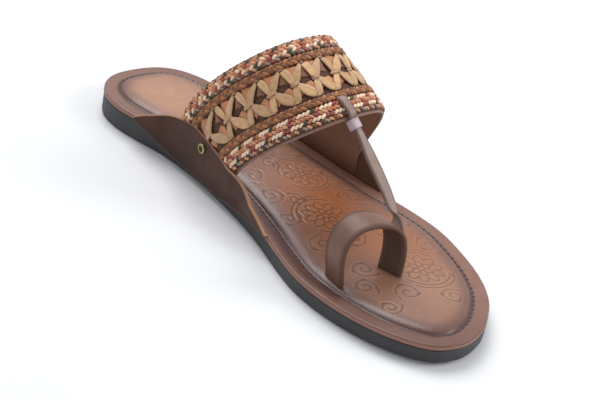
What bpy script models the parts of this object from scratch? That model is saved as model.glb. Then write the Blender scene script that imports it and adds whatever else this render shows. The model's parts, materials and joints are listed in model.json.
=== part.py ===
"""Left-foot toe-loop sandal, built in metres with +Z up.

The toe points along -Y and the big-toe side is -X.  Every solid is a piece of
its own: rubber outsole, leather footbed, upper (woven band with its two side
flaps), toe loop, thong strap, strap keeper and two rivets.
"""
import math

import bmesh
import bpy
import numpy as np
from mathutils import Matrix, Vector

MM = 0.001

# Overall sizes
LENGTH = 260.0 * MM
GAP = 0.3 * MM

# Sole outline: share of the length from the heel, then the big-toe side and
# the outer side, both as shares of the length from the middle line
OUTLINE = (
    (0.008, 0.0640, 0.0470),
    (0.030, 0.0980, 0.0800),
    (0.070, 0.1240, 0.1040),
    (0.120, 0.1320, 0.1170),
    (0.180, 0.1240, 0.1220),
    (0.250, 0.1090, 0.1245),
    (0.330, 0.1060, 0.1310),
    (0.410, 0.1110, 0.1400),
    (0.490, 0.1185, 0.1510),
    (0.570, 0.1340, 0.1650),
    (0.650, 0.1570, 0.1780),
    (0.720, 0.1730, 0.1800),
    (0.790, 0.1745, 0.1640),
    (0.860, 0.1640, 0.1370),
    (0.920, 0.1440, 0.0980),
    (0.965, 0.1180, 0.0470),
    (0.988, 0.0930, 0.0070),
)
HEEL_TIP = -0.0115
TOE_TIP = -0.0454
OUTLINE_STEPS = 52

# Sole heights: share of the length, lift of the underside, top of the rubber
LEVELS = (
    (0.00, 0.5 * MM, 10.6 * MM),
    (0.05, 0.0 * MM, 10.6 * MM),
    (0.15, 0.0 * MM, 10.6 * MM),
    (0.28, 0.0 * MM, 10.4 * MM),
    (0.38, 0.9 * MM, 9.9 * MM),
    (0.48, 0.0 * MM, 8.6 * MM),
    (0.58, 0.0 * MM, 7.3 * MM),
    (0.70, 0.0 * MM, 6.8 * MM),
    (0.80, 0.2 * MM, 6.8 * MM),
    (0.90, 0.8 * MM, 7.3 * MM),
    (1.00, 1.9 * MM, 8.3 * MM),
)
SOLE_BOTTOM_ROUND = 1.3 * MM
SOLE_TOP_ROUND = 0.4 * MM

# Tread: shallow grooves across the forefoot and the heel
TREAD_DEPTH = 1.0 * MM
TREAD_WIDTH = 1.8 * MM
TREAD_PITCH = 7.0 * MM
TREAD_FIELDS = (
    (0.555, 4),
    (0.770, 4),
    (0.055, 3),
    (0.215, 3),
)
TREAD_MARGIN = 8.0 * MM

# Footbed: rim, stitched channel and padded middle; distance in from the edge
# and height above the underside of the footbed
EDGE = 2.3 * MM
FOOTBED_ROWS = (
    (0.0 * MM, EDGE - 0.35 * MM),
    (0.35 * MM, EDGE),
    (6.6 * MM, EDGE),
    (7.8 * MM, EDGE - 0.3 * MM),
    (9.0 * MM, EDGE + 0.5 * MM),
    (11.0 * MM, EDGE + 1.5 * MM),
    (14.0 * MM, EDGE + 1.9 * MM),
    (16.0 * MM, EDGE + 2.1 * MM),
)
CROWN = 0.5 * MM
CROWN_RUN = 12.0
CROWN_PARTS = (0.2, 0.5, 0.8)

# Band across the instep: each edge is an arch from the big-toe side to the
# outer side.  Foot shares, foot heights, crown height, squareness, bow
# towards the toe and skew
BAND_FRONT = {
    "medial": 0.467, "lateral": 0.5015, "medial_z": 20.0 * MM,
    "lateral_z": 23.1 * MM, "crown": 64.8 * MM, "power": 0.80,
    "bow": 31.5 * MM, "skew": -3.1 * MM,
}
BAND_REAR = {
    "medial": 0.294, "lateral": 0.330, "medial_z": 27.0 * MM,
    "lateral_z": 24.5 * MM, "crown": 83.8 * MM, "power": 0.70,
    "bow": 35.5 * MM, "skew": -2.6 * MM,
}
BAND_STEPS = 36
BAND_INNER = 1.5 * MM
BAND_FOOT_CLEAR = 0.5 * MM

# Raised strips of the band: share of its width from the front edge, and the
# height above the base face
BAND_STRIPS = (
    (0.000, 0.6 * MM), (0.020, 1.3 * MM), (0.060, 1.8 * MM),
    (0.105, 2.0 * MM), (0.150, 1.8 * MM), (0.185, 1.2 * MM),
    (0.205, 0.4 * MM), (0.225, 1.2 * MM), (0.252, 1.5 * MM),
    (0.280, 1.2 * MM), (0.300, 0.4 * MM), (0.330, 1.0 * MM),
    (0.515, 1.4 * MM), (0.700, 1.0 * MM), (0.725, 0.4 * MM),
    (0.750, 1.2 * MM), (0.780, 1.5 * MM), (0.810, 1.2 * MM),
    (0.835, 0.4 * MM), (0.855, 1.3 * MM), (0.885, 1.8 * MM),
    (0.920, 2.0 * MM), (0.955, 1.8 * MM), (0.980, 1.3 * MM),
    (1.000, 0.6 * MM),
)

# Side flaps: share of the length from the heel, lower edge, upper edge of the
# big-toe side and of the outer side
FLAP_ROWS = (
    (0.1750, 12.2 * MM, 13.5 * MM, 13.5 * MM),
    (0.1920, 10.8 * MM, 16.4 * MM, 16.4 * MM),
    (0.2230, 8.2 * MM, 20.8 * MM, 20.8 * MM),
    (0.2620, 5.6 * MM, 25.2 * MM, 25.2 * MM),
    (0.2980, 4.5 * MM, 27.7 * MM, 27.7 * MM),
    (0.3370, 4.0 * MM, 28.9 * MM, 28.9 * MM),
    (0.3670, 3.9 * MM, 28.1 * MM, 28.6 * MM),
    (0.4080, 4.0 * MM, 25.8 * MM, 27.6 * MM),
    (0.4490, 4.6 * MM, 23.4 * MM, 26.8 * MM),
    (0.4860, 5.8 * MM, 22.0 * MM, 26.2 * MM),
    (0.5150, 6.6 * MM, 19.9 * MM, 25.0 * MM),
    (0.5450, 7.3 * MM, 16.4 * MM, 20.4 * MM),
    (0.5830, 8.6 * MM, 12.8 * MM, 11.6 * MM),
    (0.6110, 9.5 * MM, 11.0 * MM, 11.0 * MM),
)
FLAP_FRONT_MEDIAL = 0.611
FLAP_FRONT_LATERAL = 0.586
FLAP_STEPS = 36
FLAP_LEVELS = 4
FLAP_WALL = 1.9 * MM
FLAP_FLARE = 0.05

# Rivets through flap and band: share of the length, height, and the radius
# and height rows of the turned shape
RIVET_SHARE = 0.372
RIVET_HEIGHT = 21.5 * MM
RIVET_SHANK = 1.1 * MM
RIVET_HEAD = 2.5 * MM
RIVET_RISE = 0.8 * MM
RIVET_BACK = 2.2 * MM
RIVET_SEGMENTS = 16

# Toe loop: feet in the footbed and the arch over the big toe
LOOP_MEDIAL = Vector((-33.9, -69.9)) * MM
LOOP_LATERAL = Vector((-6.2, -76.0)) * MM
LOOP_TOP = 37.6 * MM
LOOP_BOW_MEDIAL = 3.0 * MM
LOOP_BOW_LATERAL = 4.2 * MM
LOOP_BACK = 5.0 * MM
LOOP_FOOT = 5.0 * MM
LOOP_WIDTH = 12.2 * MM
LOOP_WALL = 2.2 * MM
LOOP_MEDIAL_TURN = math.radians(-96.0)
LOOP_LATERAL_TURN = math.radians(-74.0)
LOOP_TILT = 0.12
LOOP_STEPS = 32

# Thong strap and its keeper
STRAP_WIDTH_TOP = 5.0 * MM
STRAP_WIDTH_KEPT = 3.8 * MM
STRAP_WIDTH_LOW = 6.2 * MM
STRAP_WALL = 1.4 * MM
STRAP_CLEAR = 0.35 * MM
STRAP_ACROSS = 0.472
STRAP_HOLD = 7.2 * MM
STRAP_STEPS = 72
KEEPER_NEAR = 2.3 * MM
KEEPER_PLAY = 0.45 * MM
KEEPER_LENGTH = 5.4 * MM
KEEPER_WALL = 0.6 * MM
STRAP_RUN = (
    (2.0, -42.0, 51.0),
    (2.4, -50.0, 44.6),
    (2.2, -58.0, 38.4),
)
STRAP_BESIDE = (0.83, 0.88, 0.93)
SLOT_PLAY = 0.45 * MM


def spline_slopes(knots, values, closed):
    """Slopes of a smooth curve through the values at the knots."""
    count = len(knots)
    slopes = np.zeros_like(values)
    for i in range(count):
        before, after = i - 1, i + 1
        if closed:
            span = knots[-1] - knots[0]
            before = (count - 2) if i == 0 else before
            after = 1 if i == count - 1 else after
            back = (knots[i] - knots[before]) % span
            ahead = (knots[after] - knots[i]) % span
        else:
            before, after = max(before, 0), min(after, count - 1)
            back = max(knots[i] - knots[before], 1e-12)
            ahead = max(knots[after] - knots[i], 1e-12)
        left = (values[i] - values[before]) / back
        right = (values[after] - values[i]) / ahead
        if not closed and i == 0:
            slopes[i] = right
        elif not closed and i == count - 1:
            slopes[i] = left
        else:
            slopes[i] = (left * ahead + right * back) / (ahead + back)
    return slopes


def spline_at(knots, values, slopes, where):
    """Points of the smooth curve at the given places."""
    where = np.atleast_1d(where)
    index = np.clip(np.searchsorted(knots, where, side="right") - 1, 0, len(knots) - 2)
    span = knots[index + 1] - knots[index]
    part = np.clip((where - knots[index]) / span, 0.0, 1.0)
    if values.ndim > 1:
        part = part[:, None]
        span = span[:, None]
    square, cube = part ** 2, part ** 3
    return ((2 * cube - 3 * square + 1) * values[index]
            + (cube - 2 * square + part) * span * slopes[index]
            + (3 * square - 2 * cube) * values[index + 1]
            + (cube - square) * span * slopes[index + 1])


def row_value(rows, column, share):
    """One column of a table of rows, smoothed between its rows."""
    table = np.array(rows, dtype=float)
    knots, values = table[:, 0], table[:, column]
    slopes = spline_slopes(knots, values, False)
    place = min(max(share, knots[0]), knots[-1])
    return float(spline_at(knots, values, slopes, place)[0])


def open_spline(points, count):
    """Evenly spread points of a smooth open curve."""
    values = np.array(points, dtype=float)
    steps = np.linalg.norm(np.diff(values[:, :3], axis=0), axis=1)
    knots = np.concatenate(([0.0], np.cumsum(steps)))
    slopes = spline_slopes(knots, values, False)
    return spline_at(knots, values, slopes, np.linspace(0.0, knots[-1], count))


class Outline:
    """The sole's outline with its two sides sampled from heel to toe."""

    def __init__(self):
        rows = np.array(OUTLINE)
        medial = np.stack([-rows[:, 1], 0.5 - rows[:, 0]], axis=1)
        lateral = np.stack([rows[:, 2], 0.5 - rows[:, 0]], axis=1)
        heel = np.array([[HEEL_TIP, 0.5]])
        toe = np.array([[TOE_TIP, -0.5]])
        values = np.concatenate([heel, medial, toe, lateral[::-1], heel]) * LENGTH
        steps = np.sqrt(np.linalg.norm(np.diff(values, axis=0), axis=1))
        self.knots = np.concatenate(([0.0], np.cumsum(steps)))
        self.values = values
        self.slopes = spline_slopes(self.knots, values, True)
        self.toe_knot = self.knots[len(rows) + 1]

    def side(self, medial, count):
        """Points of one side from the heel tip to the toe tip."""
        share = 0.5 - 0.5 * np.cos(np.linspace(0.0, np.pi, count + 1))
        share = 0.55 * share + 0.45 * np.linspace(0.0, 1.0, count + 1)
        if medial:
            where = share * self.toe_knot
        else:
            where = self.knots[-1] - share * (self.knots[-1] - self.toe_knot)
        return spline_at(self.knots, self.values, self.slopes, where)

    def ring(self):
        """The closed outline with pairs of points on the two sides."""
        medial = self.side(True, OUTLINE_STEPS)
        lateral = self.side(False, OUTLINE_STEPS)
        return np.concatenate([medial, lateral[1:-1][::-1]])

    def half_width(self, share, medial):
        """Distance of a side from the middle line at a share of the length."""
        side = self.side(medial, 400)
        order = np.argsort(-side[:, 1])
        return float(np.interp(-(0.5 - share) * LENGTH, -side[order, 1], np.abs(side[order, 0])))

    def wall_point(self, share, medial, out):
        """A point outside one side, square to the outline."""
        step = 0.004
        here = Vector((self.half_width(share, medial), (0.5 - share) * LENGTH))
        ahead = self.half_width(share + step, medial) - self.half_width(share - step, medial)
        normal = Vector((2 * step * LENGTH, ahead)).normalized()
        place = here + normal * out
        return Vector((-place.x if medial else place.x, place.y))


SHAPE = Outline()


def floor_lift(share):
    """Height of the sole's underside."""
    return max(row_value(LEVELS, 1, share), 0.0)


def rubber_top(share):
    """Height of the rubber's upper face."""
    return row_value(LEVELS, 2, share)


def rim_top(share):
    """Height of the footbed's flat rim."""
    return rubber_top(share) + GAP + EDGE


def share_of(y):
    """Share of the length from the heel at a place along the shoe."""
    return 0.5 - y / LENGTH


def inset_ring(ring, distance):
    """The outline moved inwards, square to itself."""
    tangent = np.roll(ring, -1, axis=0) - np.roll(ring, 1, axis=0)
    tangent /= np.linalg.norm(tangent, axis=1)[:, None]
    inward = np.stack([-tangent[:, 1], tangent[:, 0]], axis=1)
    middle = ring.mean(axis=0)
    if ((middle - ring) * inward).sum() < 0:
        inward = -inward
    return ring + inward * distance


def new_material(name, colour, roughness, metallic=0.0):
    """A Principled material of one colour."""
    material = bpy.data.materials.new(name)
    material.use_nodes = True
    shader = material.node_tree.nodes["Principled BSDF"]
    shader.inputs["Base Color"].default_value = (*colour, 1.0)
    shader.inputs["Roughness"].default_value = roughness
    shader.inputs["Metallic"].default_value = metallic
    return material


def finish(obj, sharp_degrees=38.0):
    """Outward normals and smooth shading with sharp edges kept."""
    mesh = bmesh.new()
    mesh.from_mesh(obj.data)
    bmesh.ops.recalc_face_normals(mesh, faces=mesh.faces)
    limit = math.radians(sharp_degrees)
    for face in mesh.faces:
        face.smooth = True
    for edge in mesh.edges:
        edge.smooth = edge.calc_face_angle(0.0) < limit
    mesh.to_mesh(obj.data)
    mesh.free()
    return obj


def mesh_object(name, points, faces, material, collection):
    """A mesh object from points and faces."""
    mesh = bpy.data.meshes.new(name)
    mesh.from_pydata([tuple(p) for p in points], [], faces)
    mesh.update()
    obj = bpy.data.objects.new(name, mesh)
    if material is not None:
        mesh.materials.append(material)
    collection.objects.link(obj)
    return finish(obj)


def ring_faces(count, rows):
    """Quads between closed rings of equal point counts."""
    faces = []
    for row in range(rows - 1):
        for i in range(count):
            j = (i + 1) % count
            faces.append((row * count + i, row * count + j,
                          (row + 1) * count + j, (row + 1) * count + i))
    return faces


def pair_faces(count, start):
    """Faces across a ring, between its paired points on the two sides."""
    half = count // 2
    faces = [(start, start + 1, start + count - 1)]
    for i in range(1, half - 1):
        faces.append((start + i, start + i + 1, start + count - i - 1, start + count - i))
    faces.append((start + half - 1, start + half, start + half + 1))
    return faces


def lifted(ring, height):
    """A flat ring with a height from its share of the length."""
    return [(x, y, height(share_of(y))) for x, y in ring]


def build_outsole(material, collection):
    """The rubber unit: flat underside, toe spring and low wedge."""
    ring = SHAPE.ring()
    count = len(ring)
    rows = (
        (SOLE_BOTTOM_ROUND, lambda s: floor_lift(s)),
        (0.3 * SOLE_BOTTOM_ROUND, lambda s: floor_lift(s) + 0.3 * SOLE_BOTTOM_ROUND),
        (0.0, lambda s: floor_lift(s) + SOLE_BOTTOM_ROUND),
        (0.0, lambda s: rubber_top(s) - SOLE_TOP_ROUND),
        (SOLE_TOP_ROUND, rubber_top),
    )
    points = []
    for inset, height in rows:
        points.extend(lifted(inset_ring(ring, inset), height))
    faces = ring_faces(count, len(rows)) + pair_faces(count, 0)
    faces += pair_faces(count, (len(rows) - 1) * count)
    return mesh_object("outsole", points, faces, material, collection)


def tread_cutter(collection):
    """Grooves under the forefoot and the heel, as one cutter."""
    mesh = bmesh.new()
    for first, number in TREAD_FIELDS:
        for i in range(number):
            share = first + i * TREAD_PITCH / LENGTH
            left = -SHAPE.half_width(share, True) + TREAD_MARGIN
            right = SHAPE.half_width(share, False) - TREAD_MARGIN
            depth = 2 * (floor_lift(share) + TREAD_DEPTH)
            size = Matrix.Diagonal((right - left, TREAD_WIDTH, depth, 1.0))
            place = Matrix.Translation(((left + right) / 2, (0.5 - share) * LENGTH, 0.0))
            bmesh.ops.create_cube(mesh, size=1.0, matrix=place @ size)
    data = bpy.data.meshes.new("tread_cut")
    mesh.to_mesh(data)
    mesh.free()
    obj = bpy.data.objects.new("tread_cut", data)
    collection.objects.link(obj)
    return obj


def build_footbed(material, collection):
    """The leather footbed: flat rim and a soft crowned middle."""
    ring = SHAPE.ring()
    count = len(ring)
    low = [(x, y, rubber_top(share_of(y)) + GAP) for x, y in ring]
    points = list(low)
    for inset, height in FOOTBED_ROWS:
        row = inset_ring(ring, inset)
        points.extend((x, y, rubber_top(share_of(y)) + GAP + height) for x, y in row)
    rows = len(FOOTBED_ROWS) + 1
    faces = ring_faces(count, rows) + pair_faces(count, 0)
    crown_faces(points, faces, (rows - 1) * count, count)
    return mesh_object("insole", points, faces, material, collection)


def crown_faces(points, faces, start, count):
    """Close the footbed's inner ring with a gently crowned grid."""
    half = count // 2
    columns = []
    for i in range(1, half):
        left = np.array(points[start + i])
        right = np.array(points[start + count - i])
        rise = CROWN * min(1.0, min(i, half - i) / CROWN_RUN)
        column = [start + i]
        for part in CROWN_PARTS:
            place = left * (1.0 - part) + right * part
            place[2] += rise * (1.0 - (2.0 * part - 1.0) ** 2)
            column.append(len(points))
            points.append(tuple(place))
        column.append(start + count - i)
        columns.append(column)
    for tip, column in ((start, columns[0]), (start + half, columns[-1])):
        for low, high in zip(column[:-1], column[1:]):
            faces.append((tip, low, high))
    for here, there in zip(columns[:-1], columns[1:]):
        for j in range(len(here) - 1):
            faces.append((here[j], there[j], there[j + 1], here[j + 1]))


def flap_out(share, height, medial):
    """Distance of the flap's inner face outside the sole's outline."""
    above = max(height - rim_top(share), 0.0)
    return GAP + FLAP_FLARE * above


def flap_sheet(name, medial, grow, collection):
    """One side flap as a closed sheet; grow adds play on every face."""
    first, last = FLAP_ROWS[0][0], FLAP_FRONT_MEDIAL if medial else FLAP_FRONT_LATERAL
    upper_column = 2 if medial else 3
    pad = grow / LENGTH
    points = []
    for i in range(FLAP_STEPS + 1):
        share = first + (last - first) * i / FLAP_STEPS
        place = share + (pad if i == FLAP_STEPS else 0.0) - (pad if i == 0 else 0.0)
        low = row_value(FLAP_ROWS, 1, share) - grow
        high = row_value(FLAP_ROWS, upper_column, share) + grow
        for out in (-grow, FLAP_WALL + 4 * grow):
            for j in range(FLAP_LEVELS + 1):
                z = low + (high - low) * j / FLAP_LEVELS
                flat = SHAPE.wall_point(place, medial, flap_out(place, z, medial) + out)
                points.append((flat.x, flat.y, z))
    return closed_sheet(name, points, FLAP_STEPS + 1, FLAP_LEVELS + 1, None, collection)


def closed_sheet(name, points, columns, levels, material, collection):
    """A closed solid from columns holding an inner and an outer row of points."""
    faces = []
    stride = 2 * levels
    for i in range(columns - 1):
        here, there = i * stride, (i + 1) * stride
        for j in range(levels - 1):
            faces.append((here + j, there + j, there + j + 1, here + j + 1))
            faces.append((here + levels + j, here + levels + j + 1,
                          there + levels + j + 1, there + levels + j))
        faces.append((here, here + levels, there + levels, there))
        faces.append((here + levels - 1, there + levels - 1,
                      there + stride - 1, here + stride - 1))
    for start in (0, (columns - 1) * stride):
        for j in range(levels - 1):
            faces.append((start + j, start + j + 1, start + levels + j + 1, start + levels + j))
    return mesh_object(name, points, faces, material, collection)


def band_edge(edge, part):
    """A point of one edge of the band; part runs 0 to 1 across the foot."""
    angle = math.pi * part
    side, rise = math.cos(angle), math.sin(angle)
    share = edge["medial"] + (edge["lateral"] - edge["medial"]) * part
    left = -(SHAPE.half_width(edge["medial"], True)
             + flap_out(edge["medial"], edge["medial_z"], True))
    right = (SHAPE.half_width(edge["lateral"], False)
             + flap_out(edge["lateral"], edge["lateral_z"], False))
    across = math.copysign(abs(side) ** edge["power"], side)
    x = (left + right) / 2 - (right - left) / 2 * across
    base = edge["medial_z"] + (edge["lateral_z"] - edge["medial_z"]) * part
    z = base + (edge["crown"] - base) * abs(rise) ** edge["power"]
    y = (0.5 - share) * LENGTH - edge["bow"] * rise + edge["skew"] * math.sin(2 * angle)
    return Vector((x, y, z))


def band_point(part, along):
    """A point of the band's base face; along runs 0 at the front to 1 behind."""
    return band_edge(BAND_FRONT, part).lerp(band_edge(BAND_REAR, part), along)


def band_normal(part, along):
    """Outward normal of the band's base face."""
    step = 0.004
    low, high = max(part - step, 0.0), min(part + step, 1.0)
    across = band_point(high, along) - band_point(low, along)
    back = band_point(part, 1.0) - band_point(part, 0.0)
    return across.cross(back).normalized()


def band_column(part, foot):
    """Inner and outer points across the band's width at one section."""
    inner, outer = [], []
    for along, height in BAND_STRIPS:
        base = band_point(part, along)
        normal = band_normal(part, along)
        if foot:
            share = share_of(base.y)
            low = rim_top(share) + BAND_FOOT_CLEAR
            normal = Vector((math.copysign(1.0, base.x), 0.0, 0.0))
            base = Vector((base.x, base.y, low))
        fade = min(max((base.z - 25.0 * MM) / (9.0 * MM), 0.0), 1.0)
        inner.append(base - normal * BAND_INNER)
        outer.append(base + normal * (0.6 * MM + (height - 0.6 * MM) * fade))
    return inner + outer


def build_upper(material, collection, cutters):
    """The band's wall with its raised strips, joined to both side flaps."""
    points = band_column(0.0, True)
    for i in range(BAND_STEPS + 1):
        points.extend(band_column(i / BAND_STEPS, False))
    points.extend(band_column(1.0, True))
    upper = closed_sheet("upper", points, BAND_STEPS + 3, len(BAND_STRIPS), material, collection)
    for medial, name in ((True, "flap_medial"), (False, "flap_lateral")):
        flap = flap_sheet(name, medial, 0.0, cutters)
        flap.data.materials.append(material)
        boolean(upper, flap, "UNION")
    return upper


def boolean(target, cutter, operation):
    """Add a boolean modifier to the target."""
    modifier = target.modifiers.new(operation.title() + "_" + cutter.name, "BOOLEAN")
    modifier.operation = operation
    modifier.solver = "EXACT"
    modifier.object = cutter


def box_cutter(name, centre, axes, sizes, collection):
    """A box with its own axes, used to cut."""
    mesh = bmesh.new()
    bmesh.ops.create_cube(mesh, size=1.0)
    turn = Matrix((axes[0], axes[1], axes[2])).transposed().to_4x4()
    scale = Matrix.Diagonal((*sizes, 1.0))
    bmesh.ops.transform(mesh, matrix=Matrix.Translation(centre) @ turn @ scale, verts=mesh.verts)
    bmesh.ops.recalc_face_normals(mesh, faces=mesh.faces)
    data = bpy.data.meshes.new(name)
    mesh.to_mesh(data)
    mesh.free()
    obj = bpy.data.objects.new(name, data)
    collection.objects.link(obj)
    return obj


def strip_section(width, wall):
    """Corners of a flat strap's cross-section, slightly rounded."""
    round_off = 0.28 * wall
    return (
        (width / 2, wall / 2 - round_off), (width / 2 - round_off, wall / 2),
        (-width / 2 + round_off, wall / 2), (-width / 2, wall / 2 - round_off),
        (-width / 2, -wall / 2 + round_off), (-width / 2 + round_off, -wall / 2),
        (width / 2 - round_off, -wall / 2), (width / 2, -wall / 2 + round_off),
    )


def strip(name, path, wall, material, collection):
    """A flat strap swept along rows of a point, a width direction and a width."""
    count = len(path)
    points = []
    for i in range(count):
        centre = Vector(path[i][:3])
        before = Vector(path[max(i - 1, 0)][:3])
        after = Vector(path[min(i + 1, count - 1)][:3])
        run = (after - before).normalized()
        wide = Vector(path[i][3:6])
        wide = (wide - run * wide.dot(run)).normalized()
        face = run.cross(wide)
        section = strip_section(path[i][6], wall)
        points.extend(centre + wide * a + face * b for a, b in section)
    number = 8
    faces = ring_faces(number, count)
    faces.append(tuple(range(number)))
    faces.append(tuple((count - 1) * number + i for i in range(number)))
    return mesh_object(name, points, faces, material, collection)


def loop_direction(turn):
    """Direction across the loop's width, on the footbed."""
    return Vector((math.cos(turn), math.sin(turn), 0.0))


def loop_point(part):
    """A point of the toe loop's middle line, and its width direction."""
    angle = math.pi * part
    rise = math.sin(angle)
    flat = LOOP_MEDIAL.lerp(LOOP_LATERAL, 0.5 - 0.5 * math.cos(angle))
    bow = -LOOP_BOW_MEDIAL if part < 0.5 else LOOP_BOW_LATERAL
    flat.x += bow * abs(math.sin(2 * angle))
    flat.y += LOOP_BACK * rise
    foot = rubber_top(share_of(flat.y)) + GAP + LOOP_FOOT
    z = foot + (LOOP_TOP - foot) * rise ** 0.8
    wide = loop_direction(LOOP_MEDIAL_TURN + (LOOP_LATERAL_TURN - LOOP_MEDIAL_TURN) * part)
    wide.z = -LOOP_TILT * rise
    return Vector((flat.x, flat.y, z)), wide.normalized()


def loop_path():
    """Middle line of the toe loop with its width direction."""
    rows = [(*place, *wide, LOOP_WIDTH) for place, wide
            in (loop_point(i / LOOP_STEPS) for i in range(LOOP_STEPS + 1))]
    feet = []
    for row in (rows[0], rows[-1]):
        feet.append((row[0], row[1], rubber_top(share_of(row[1])) + GAP, *row[3:]))
    return [feet[0]] + rows + [feet[1]]


def loop_side(part, away):
    """A point outside the toe loop's outer face, and its width direction."""
    place, wide = loop_point(part)
    run = loop_point(part + 0.01)[0] - loop_point(part - 0.01)[0]
    aside = run.cross(wide).normalized()
    if aside.x < 0:
        aside = -aside
    return place + aside * away, wide


def strap_frame():
    """Point and axes where the thong strap crosses the band's front edge."""
    edge = band_point(STRAP_ACROSS, 0.0)
    back = (band_point(STRAP_ACROSS, 1.0) - edge).normalized()
    normal = band_normal(STRAP_ACROSS, 0.0)
    return edge, back, normal, normal.cross(back).normalized()


def strap_path():
    """Middle line of the thong strap, from under the keeper to its slot."""
    edge, back, normal, wide = strap_frame()
    top = max(height for _, height in BAND_STRIPS)
    over = top + STRAP_CLEAR + STRAP_WALL / 2
    under = -(BAND_INNER + STRAP_CLEAR + STRAP_WALL / 2)
    first = Vector(STRAP_RUN[0]) * MM
    down = (first - edge).normalized()
    layer = (STRAP_WALL + STRAP_CLEAR) / 2
    lift = down.cross(wide).normalized()
    if lift.dot(normal) < 0:
        lift = -lift
    near, far = KEEPER_NEAR, KEEPER_NEAR + KEEPER_LENGTH

    def local(inward, height):
        return edge + back * inward + normal * height

    middle = (over + under) / 2
    radius = (over - under) / 2
    points = [
        edge + down * (far + 1.2 * MM) - lift * layer,
        edge + down * ((near + far) / 2) - lift * layer,
        edge + down * (near - KEEPER_PLAY) - lift * layer,
        local(-0.5 * MM, under),
        local(1.0 * MM, under),
        local(STRAP_HOLD - 3.0 * MM, under),
        local(STRAP_HOLD, under),
    ]
    for degrees in (-60, -30, 0, 30, 60):
        angle = math.radians(degrees)
        points.append(local(STRAP_HOLD + radius * math.cos(angle),
                            middle + radius * math.sin(angle)))
    points += [
        local(STRAP_HOLD, over),
        local(STRAP_HOLD - 3.0 * MM, over),
        local(1.4 * MM, over - 0.1 * MM),
        local(-0.2 * MM, over - 0.8 * MM),
        edge + down * (near - KEEPER_PLAY) + lift * layer,
        edge + down * ((near + far) / 2) + lift * layer,
        edge + down * far + lift * layer,
    ]
    hints = [wide] * len(points)
    widths = [STRAP_WIDTH_KEPT] * 3 + [STRAP_WIDTH_TOP] * (len(points) - 6)
    widths += [STRAP_WIDTH_KEPT] * 3
    slot = loop_direction(LOOP_LATERAL_TURN)
    for (x, y, z), turned in zip(STRAP_RUN, (0.0, 0.08, 0.25)):
        points.append(Vector((x, y, z)) * MM)
        hints.append(wide.lerp(slot, turned).normalized())
        widths.append(STRAP_WIDTH_KEPT + (STRAP_WIDTH_LOW - STRAP_WIDTH_KEPT) * 4 * turned)
    away = LOOP_WALL / 2 + STRAP_CLEAR + STRAP_WALL / 2
    for part in STRAP_BESIDE:
        place, along = loop_side(part, away)
        points.append(place)
        hints.append(along)
        widths.append(STRAP_WIDTH_LOW)
    foot = strap_foot()
    bottom = rubber_top(share_of(foot.y)) + GAP
    for z in (bottom + EDGE + 2.0 * MM, bottom):
        points.append(Vector((foot.x, foot.y, z)))
        hints.append(slot)
        widths.append(STRAP_WIDTH_LOW)
    rows = [(*p, *h, w) for p, h, w in zip(points, hints, widths)]
    return [tuple(row) for row in open_spline(rows, STRAP_STEPS)]


def strap_foot():
    """Place of the thong strap's foot, beside the loop's outer foot."""
    slot = loop_direction(LOOP_LATERAL_TURN)
    aside = Vector((-slot.y, slot.x))
    if aside.x < 0:
        aside = -aside
    step = LOOP_WALL / 2 + STRAP_CLEAR + STRAP_WALL / 2
    return LOOP_LATERAL + aside * step


def build_keeper(material, collection, cutters):
    """The small wrap that holds the strap's two layers."""
    edge, _, normal, wide = strap_frame()
    down = (Vector(STRAP_RUN[0]) * MM - edge).normalized()
    wide = (wide - down * wide.dot(down)).normalized()
    lift = down.cross(wide).normalized()
    centre = edge + down * (KEEPER_NEAR + KEEPER_LENGTH / 2)
    inner = (STRAP_WIDTH_KEPT + 2 * STRAP_CLEAR, 2 * KEEPER_LENGTH,
             2 * STRAP_WALL + STRAP_CLEAR + 2 * KEEPER_PLAY)
    outer = (inner[0] + 2 * KEEPER_WALL, KEEPER_LENGTH, inner[2] + 2 * KEEPER_WALL)
    keeper = box_cutter("strap_keeper", centre, (wide, down, lift), outer, collection)
    keeper.data.materials.append(material)
    bevel = keeper.modifiers.new("Bevel", "BEVEL")
    bevel.width = 0.6 * KEEPER_WALL
    bevel.segments = 2
    hole = box_cutter("keeper_cut", centre, (wide, down, lift), inner, cutters)
    boolean(keeper, hole, "DIFFERENCE")
    return finish(keeper)


def rivet_axis(medial):
    """Point on the flap's inner face and the outward direction of a rivet."""
    share = RIVET_SHARE
    out = flap_out(share, RIVET_HEIGHT, medial)
    near = SHAPE.wall_point(share, medial, out)
    far = SHAPE.wall_point(share, medial, out + 5 * MM)
    start = Vector((near.x, near.y, RIVET_HEIGHT))
    return start, (Vector((far.x, far.y, RIVET_HEIGHT)) - start).normalized()


def turned_solid(name, rows, start, axis, material, collection):
    """A solid of revolution from radius and height rows."""
    points = []
    for radius, height in rows:
        for i in range(RIVET_SEGMENTS):
            angle = 2 * math.pi * i / RIVET_SEGMENTS
            points.append(Vector((radius * math.cos(angle), radius * math.sin(angle), height)))
    turn = axis.to_track_quat("Z", "Y").to_matrix().to_4x4()
    place = Matrix.Translation(start) @ turn
    points = [place @ p for p in points]
    faces = ring_faces(RIVET_SEGMENTS, len(rows))
    faces.append(tuple(range(RIVET_SEGMENTS)))
    faces.append(tuple((len(rows) - 1) * RIVET_SEGMENTS + i for i in range(RIVET_SEGMENTS)))
    return mesh_object(name, points, faces, material, collection)


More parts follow.
